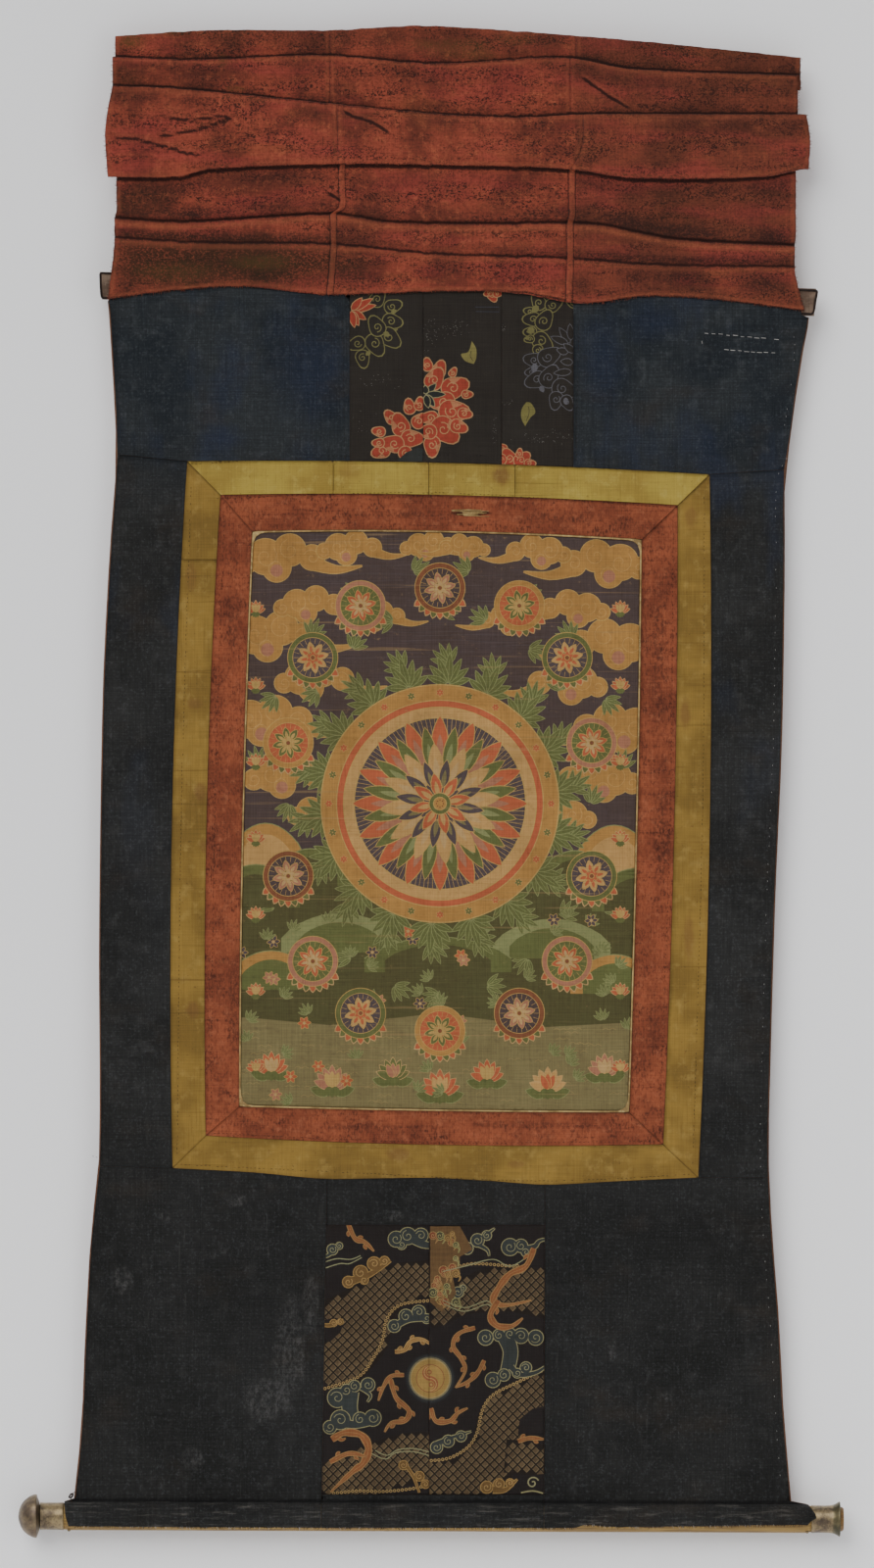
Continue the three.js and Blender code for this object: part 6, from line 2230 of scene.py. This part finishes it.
WHITE_ROWS = [
    ([(254, -312), (292, -315.5), (332, -319)], 4.4, 7.0),
    ([(268, -328), (300, -331), (335, -333)], 4.4, 7.0),
    ([(249, -318), (250, -325)], 2.4, 3.6),
]
pale = Bundle()
for k, (points, long, pitch) in enumerate(WHITE_ROWS):
    stitched(pale, points, long, pitch, 0.42, 30 + k, 0.12)
stitched(pale, [(336, -440), (325, -470), (325, -560), (322, -735), (316, -875), (310, -1075),
                (309, -1155), (312, -1230), (320, -1335), (326, -1440), (331, -1492)],
         1.2, 9.0, 0.24, 40, 0.35)
stitched(pale, [(340, -300), (344, -330), (338, -380), (333, -412)], 1.2, 8.0, 0.22, 41, 0.4)
pale.piece("white_stitches", PALE_THREAD, "blue_cotton")

# Dark overcast stitches that hold the seams: (points, stitch length, pitch)
SEAM_ROWS = [
    ([(-118, -300), (-115, -440)], 2.0, 4.2), ([(124, -300), (121, -440)], 2.0, 4.2),
    ([(-372, -1152), (-300, -1166)], 1.6, 4.0), ([(250, -1168), (316, -1155)], 1.6, 4.0),
    ([(-280, -446), (-100, -437), (100, -439), (254, -452)], 1.8, 4.2),
    ([(-245, -481), (-20, -475), (220, -490)], 1.8, 4.2),
    ([(-252, -1128), (-20, -1138), (205, -1136)], 1.8, 4.2),
    ([(-286, -1160), (-205, -1164), (-80, -1170), (88, -1177), (240, -1170)], 1.8, 4.2),
    ([(-139, -1220), (-139, -1350), (-139, -1494)], 1.6, 4.4),
    ([(93, -1220), (94, -1360), (96, -1494)], 1.6, 4.4),
    ([(-272, -470), (-282, -800), (-286, -1150)], 1.8, 4.2),
    ([(252, -480), (250, -800), (240, -1160)], 1.8, 4.2),
    ([(-238, -500), (-248, -800), (-252, -1120)], 1.8, 4.4),
    ([(220, -500), (217, -800), (206, -1130)], 1.8, 4.4),
]
dark = Bundle()
for k, (points, long, pitch) in enumerate(SEAM_ROWS):
    stitched(dark, points, long, pitch, 0.22, 60 + k, 0.15, 0.12)

# Bound edges of the batten's two bare ends
for rows in (
    [(-352, -251.4), (-358, -251), (-364.0, -251.0), (-364.4, -256), (-364.0, -266), (-362.8, -275.4),
     (-358, -276), (-352, -275.8)],
    [(345, -267.8), (356, -268.4), (366.0, -269), (366.4, -272), (365.0, -280), (362.6, -291.6),
     (356, -292.4), (345, -292)],
):
    for depth, radius in ((-3.6, 1.15), (-1.6, 1.0), (0.4, 1.0), (2.4, 1.0)):
        dark.tube([(x, depth, z) for x, z in smooth_path(rows, 4)], radius, 8)
dark.piece("dark_stitches_and_binding", THREAD, "batten_cover")


def raw_edge(first, last):
    """Points along the raw edge that the front cloths leave on the roller."""
    rows = []
    for i in range(int((last - first) / 6) + 1):
        x = first + 6 * i
        turn = math.radians(RAW_EDGE(x) - 1)
        rows.append((x, -ON_ROLLER * math.sin(turn), roller_z(x) + ON_ROLLER * math.cos(turn)))
    return rows


RAW_EDGES = [(raw_edge(-392, 118), 0, -1), (raw_edge(130, 356), 0, -1)]
fraying("roller_raw_edge", RAW_EDGES, 90, 2.0, 91, THREAD, "blue_cotton")
fraying("roller_pale_fluff", RAW_EDGES, 16, 2.2, 92, PALE_THREAD, "blue_cotton")

# Yellow threads that lie bare across the tear in the red border
torn = Bundle()
worker = random.Random(51)
for k in range(9):
    start, end = worker.uniform(-9, 6), worker.uniform(12, 36)
    z = -492.6 - k * 0.75
    path = []
    for t in (0, 0.25, 0.5, 0.75, 1):
        x = mix(start, end, t)
        path.append((x, front_y(x, z, 5) - 0.75 - 0.4 * math.sin(math.pi * t),
                     z + 0.5 * math.sin(3 * t + k)))
    torn.tube(path, 0.36, 6)
torn.piece("bare_yellow_threads", PIPING, "gold_piping")

# Knot of black thread where the cloth meets the left ferrule
knot = Bundle()
coil = []
for i in range(60):
    a = i * 0.55
    coil.append((-394.5 + 1.9 * math.cos(a) + 0.5 * math.sin(a * 2.3),
                 -3.2 + 1.8 * math.sin(a * 0.83),
                 -1498.2 + 2.1 * math.sin(a + 0.7) + 0.4 * math.cos(a * 1.9)))
knot.tube(coil, 0.55, 6)
knot.tube([(-394.5, -3, -1499.5), (-393.6, -5, -1504), (-394.4, -10, -1508), (-393.8, -14, -1514)],
          [0.5, 0.5, 0.4, 0.3], 6)
knot.tube([(-394.5, -3, -1497), (-391, -3.4, -1494.5), (-388.5, -2.6, -1495.6)], [0.45, 0.4, 0.25], 6)
knot.piece("thread_knot", THREAD, "batten_cover")


def stud(name, x, turn, radius, rise, axis_radius):
    """A small domed nail head on the roller or a ferrule, at a turn in degrees from the top."""
    angle = math.radians(turn)
    out = Vector((0, -math.sin(angle), math.cos(angle)))
    side = Vector((1, 0, 0))
    up = out.cross(side)
    centre = Vector((x, 0, roller_z(x))) + out * axis_radius
    verts, faces, sides = [], [], 16
    rings = [(1.0, -0.5), (1.0, 0.15), (0.86, 0.5), (0.6, 0.8), (0.3, 0.96)]
    for reach, high in rings:
        for k in range(sides):
            a = 2 * math.pi * k / sides
            around = side * math.cos(a) + up * math.sin(a)
            verts.append(centre + around * radius * reach + out * rise * high)
    verts.append(centre + out * rise)
    top = len(verts) - 1
    for i in range(len(rings) - 1):
        for k in range(sides):
            a, b = i * sides + k, i * sides + (k + 1) % sides
            faces.append((a, a + sides, b + sides, b))
    last = (len(rings) - 1) * sides
    faces += [(last + k, top, last + (k + 1) % sides) for k in range(sides)]
    faces.append(tuple(range(sides)))
    obj = mesh_object(name, verts, faces)
    work = bmesh.new()
    work.from_mesh(obj.data)
    bmesh.ops.recalc_face_normals(work, faces=work.faces)
    work.to_mesh(obj.data)
    work.free()
    return dress(obj, BRASS, "dull_brass")


stud("nail_left", -402.7, 92, 1.3, 0.7, 15.4)
stud("bead_left", -396.5, 158, 1.6, 1.4, 15.0)
stud("bead_right", 356.5, 150, 1.6, 1.5, 15.0)

# Backdrop, light and camera


def stage_plane(name, corners):
    obj = mesh_object(name, corners, [(0, 1, 2, 3)], False)
    obj.data.materials.append(WALL)
    return obj


WALL = wall_paint()
# Half the wall's width, its depth behind the part, its foot and top, and the floor's front edge
SIDE, BEHIND, FOOT, TOP, NEAR = 4000, 25, -2400, 1800, -5000
wall = stage_plane("pale_wall", [(-SIDE, BEHIND, FOOT), (SIDE, BEHIND, FOOT), (SIDE, BEHIND, TOP),
                                 (-SIDE, BEHIND, TOP)])
wall.visible_shadow = False
stage_plane("pale_floor", [(-SIDE, NEAR, FOOT), (SIDE, NEAR, FOOT), (SIDE, BEHIND, FOOT),
                           (-SIDE, BEHIND, FOOT)])


def aimed(name, light, place, aim):
    obj = bpy.data.objects.new(name, light)
    bpy.context.scene.collection.objects.link(obj)
    obj.location = place
    obj.rotation_euler = (Vector(aim) - Vector(place)).to_track_quat("-Z", "Y").to_euler()
    return obj


key = bpy.data.lights.new("key", "SUN")
key.energy = 2.15
key.angle = 0.8
aimed("key", key, (-1.2, -2.4, 1.1), (0, 0, -0.75))
for name, size, energy, place in (("fill", 2.4, 16, (1.9, -3.0, -0.6)), ("back", 2.0, 50, (0.6, 2.6, 0.6))):
    lamp = bpy.data.lights.new(name, "AREA")
    lamp.shape = "DISK"
    lamp.size = size
    lamp.energy = energy
    aimed(name, lamp, place, (0, 0, -0.8))
world = bpy.data.worlds.new("studio")
world.use_nodes = True
sky_light = world.node_tree.nodes["Background"]
sky_light.inputs[0].default_value = (1, 1, 1, 1)
sky_light.inputs[1].default_value = 0.37
bpy.context.scene.world = world

camera = bpy.data.cameras.new("camera")
camera.sensor_fit = "VERTICAL"
camera.sensor_height = 36
camera.lens = 300
view = bpy.data.objects.new("camera", camera)
view.location = (-0.021, -13.333, -0.772)
view.rotation_euler = (math.pi / 2, 0, 0)
bpy.context.scene.collection.objects.link(view)
bpy.context.scene.camera = view
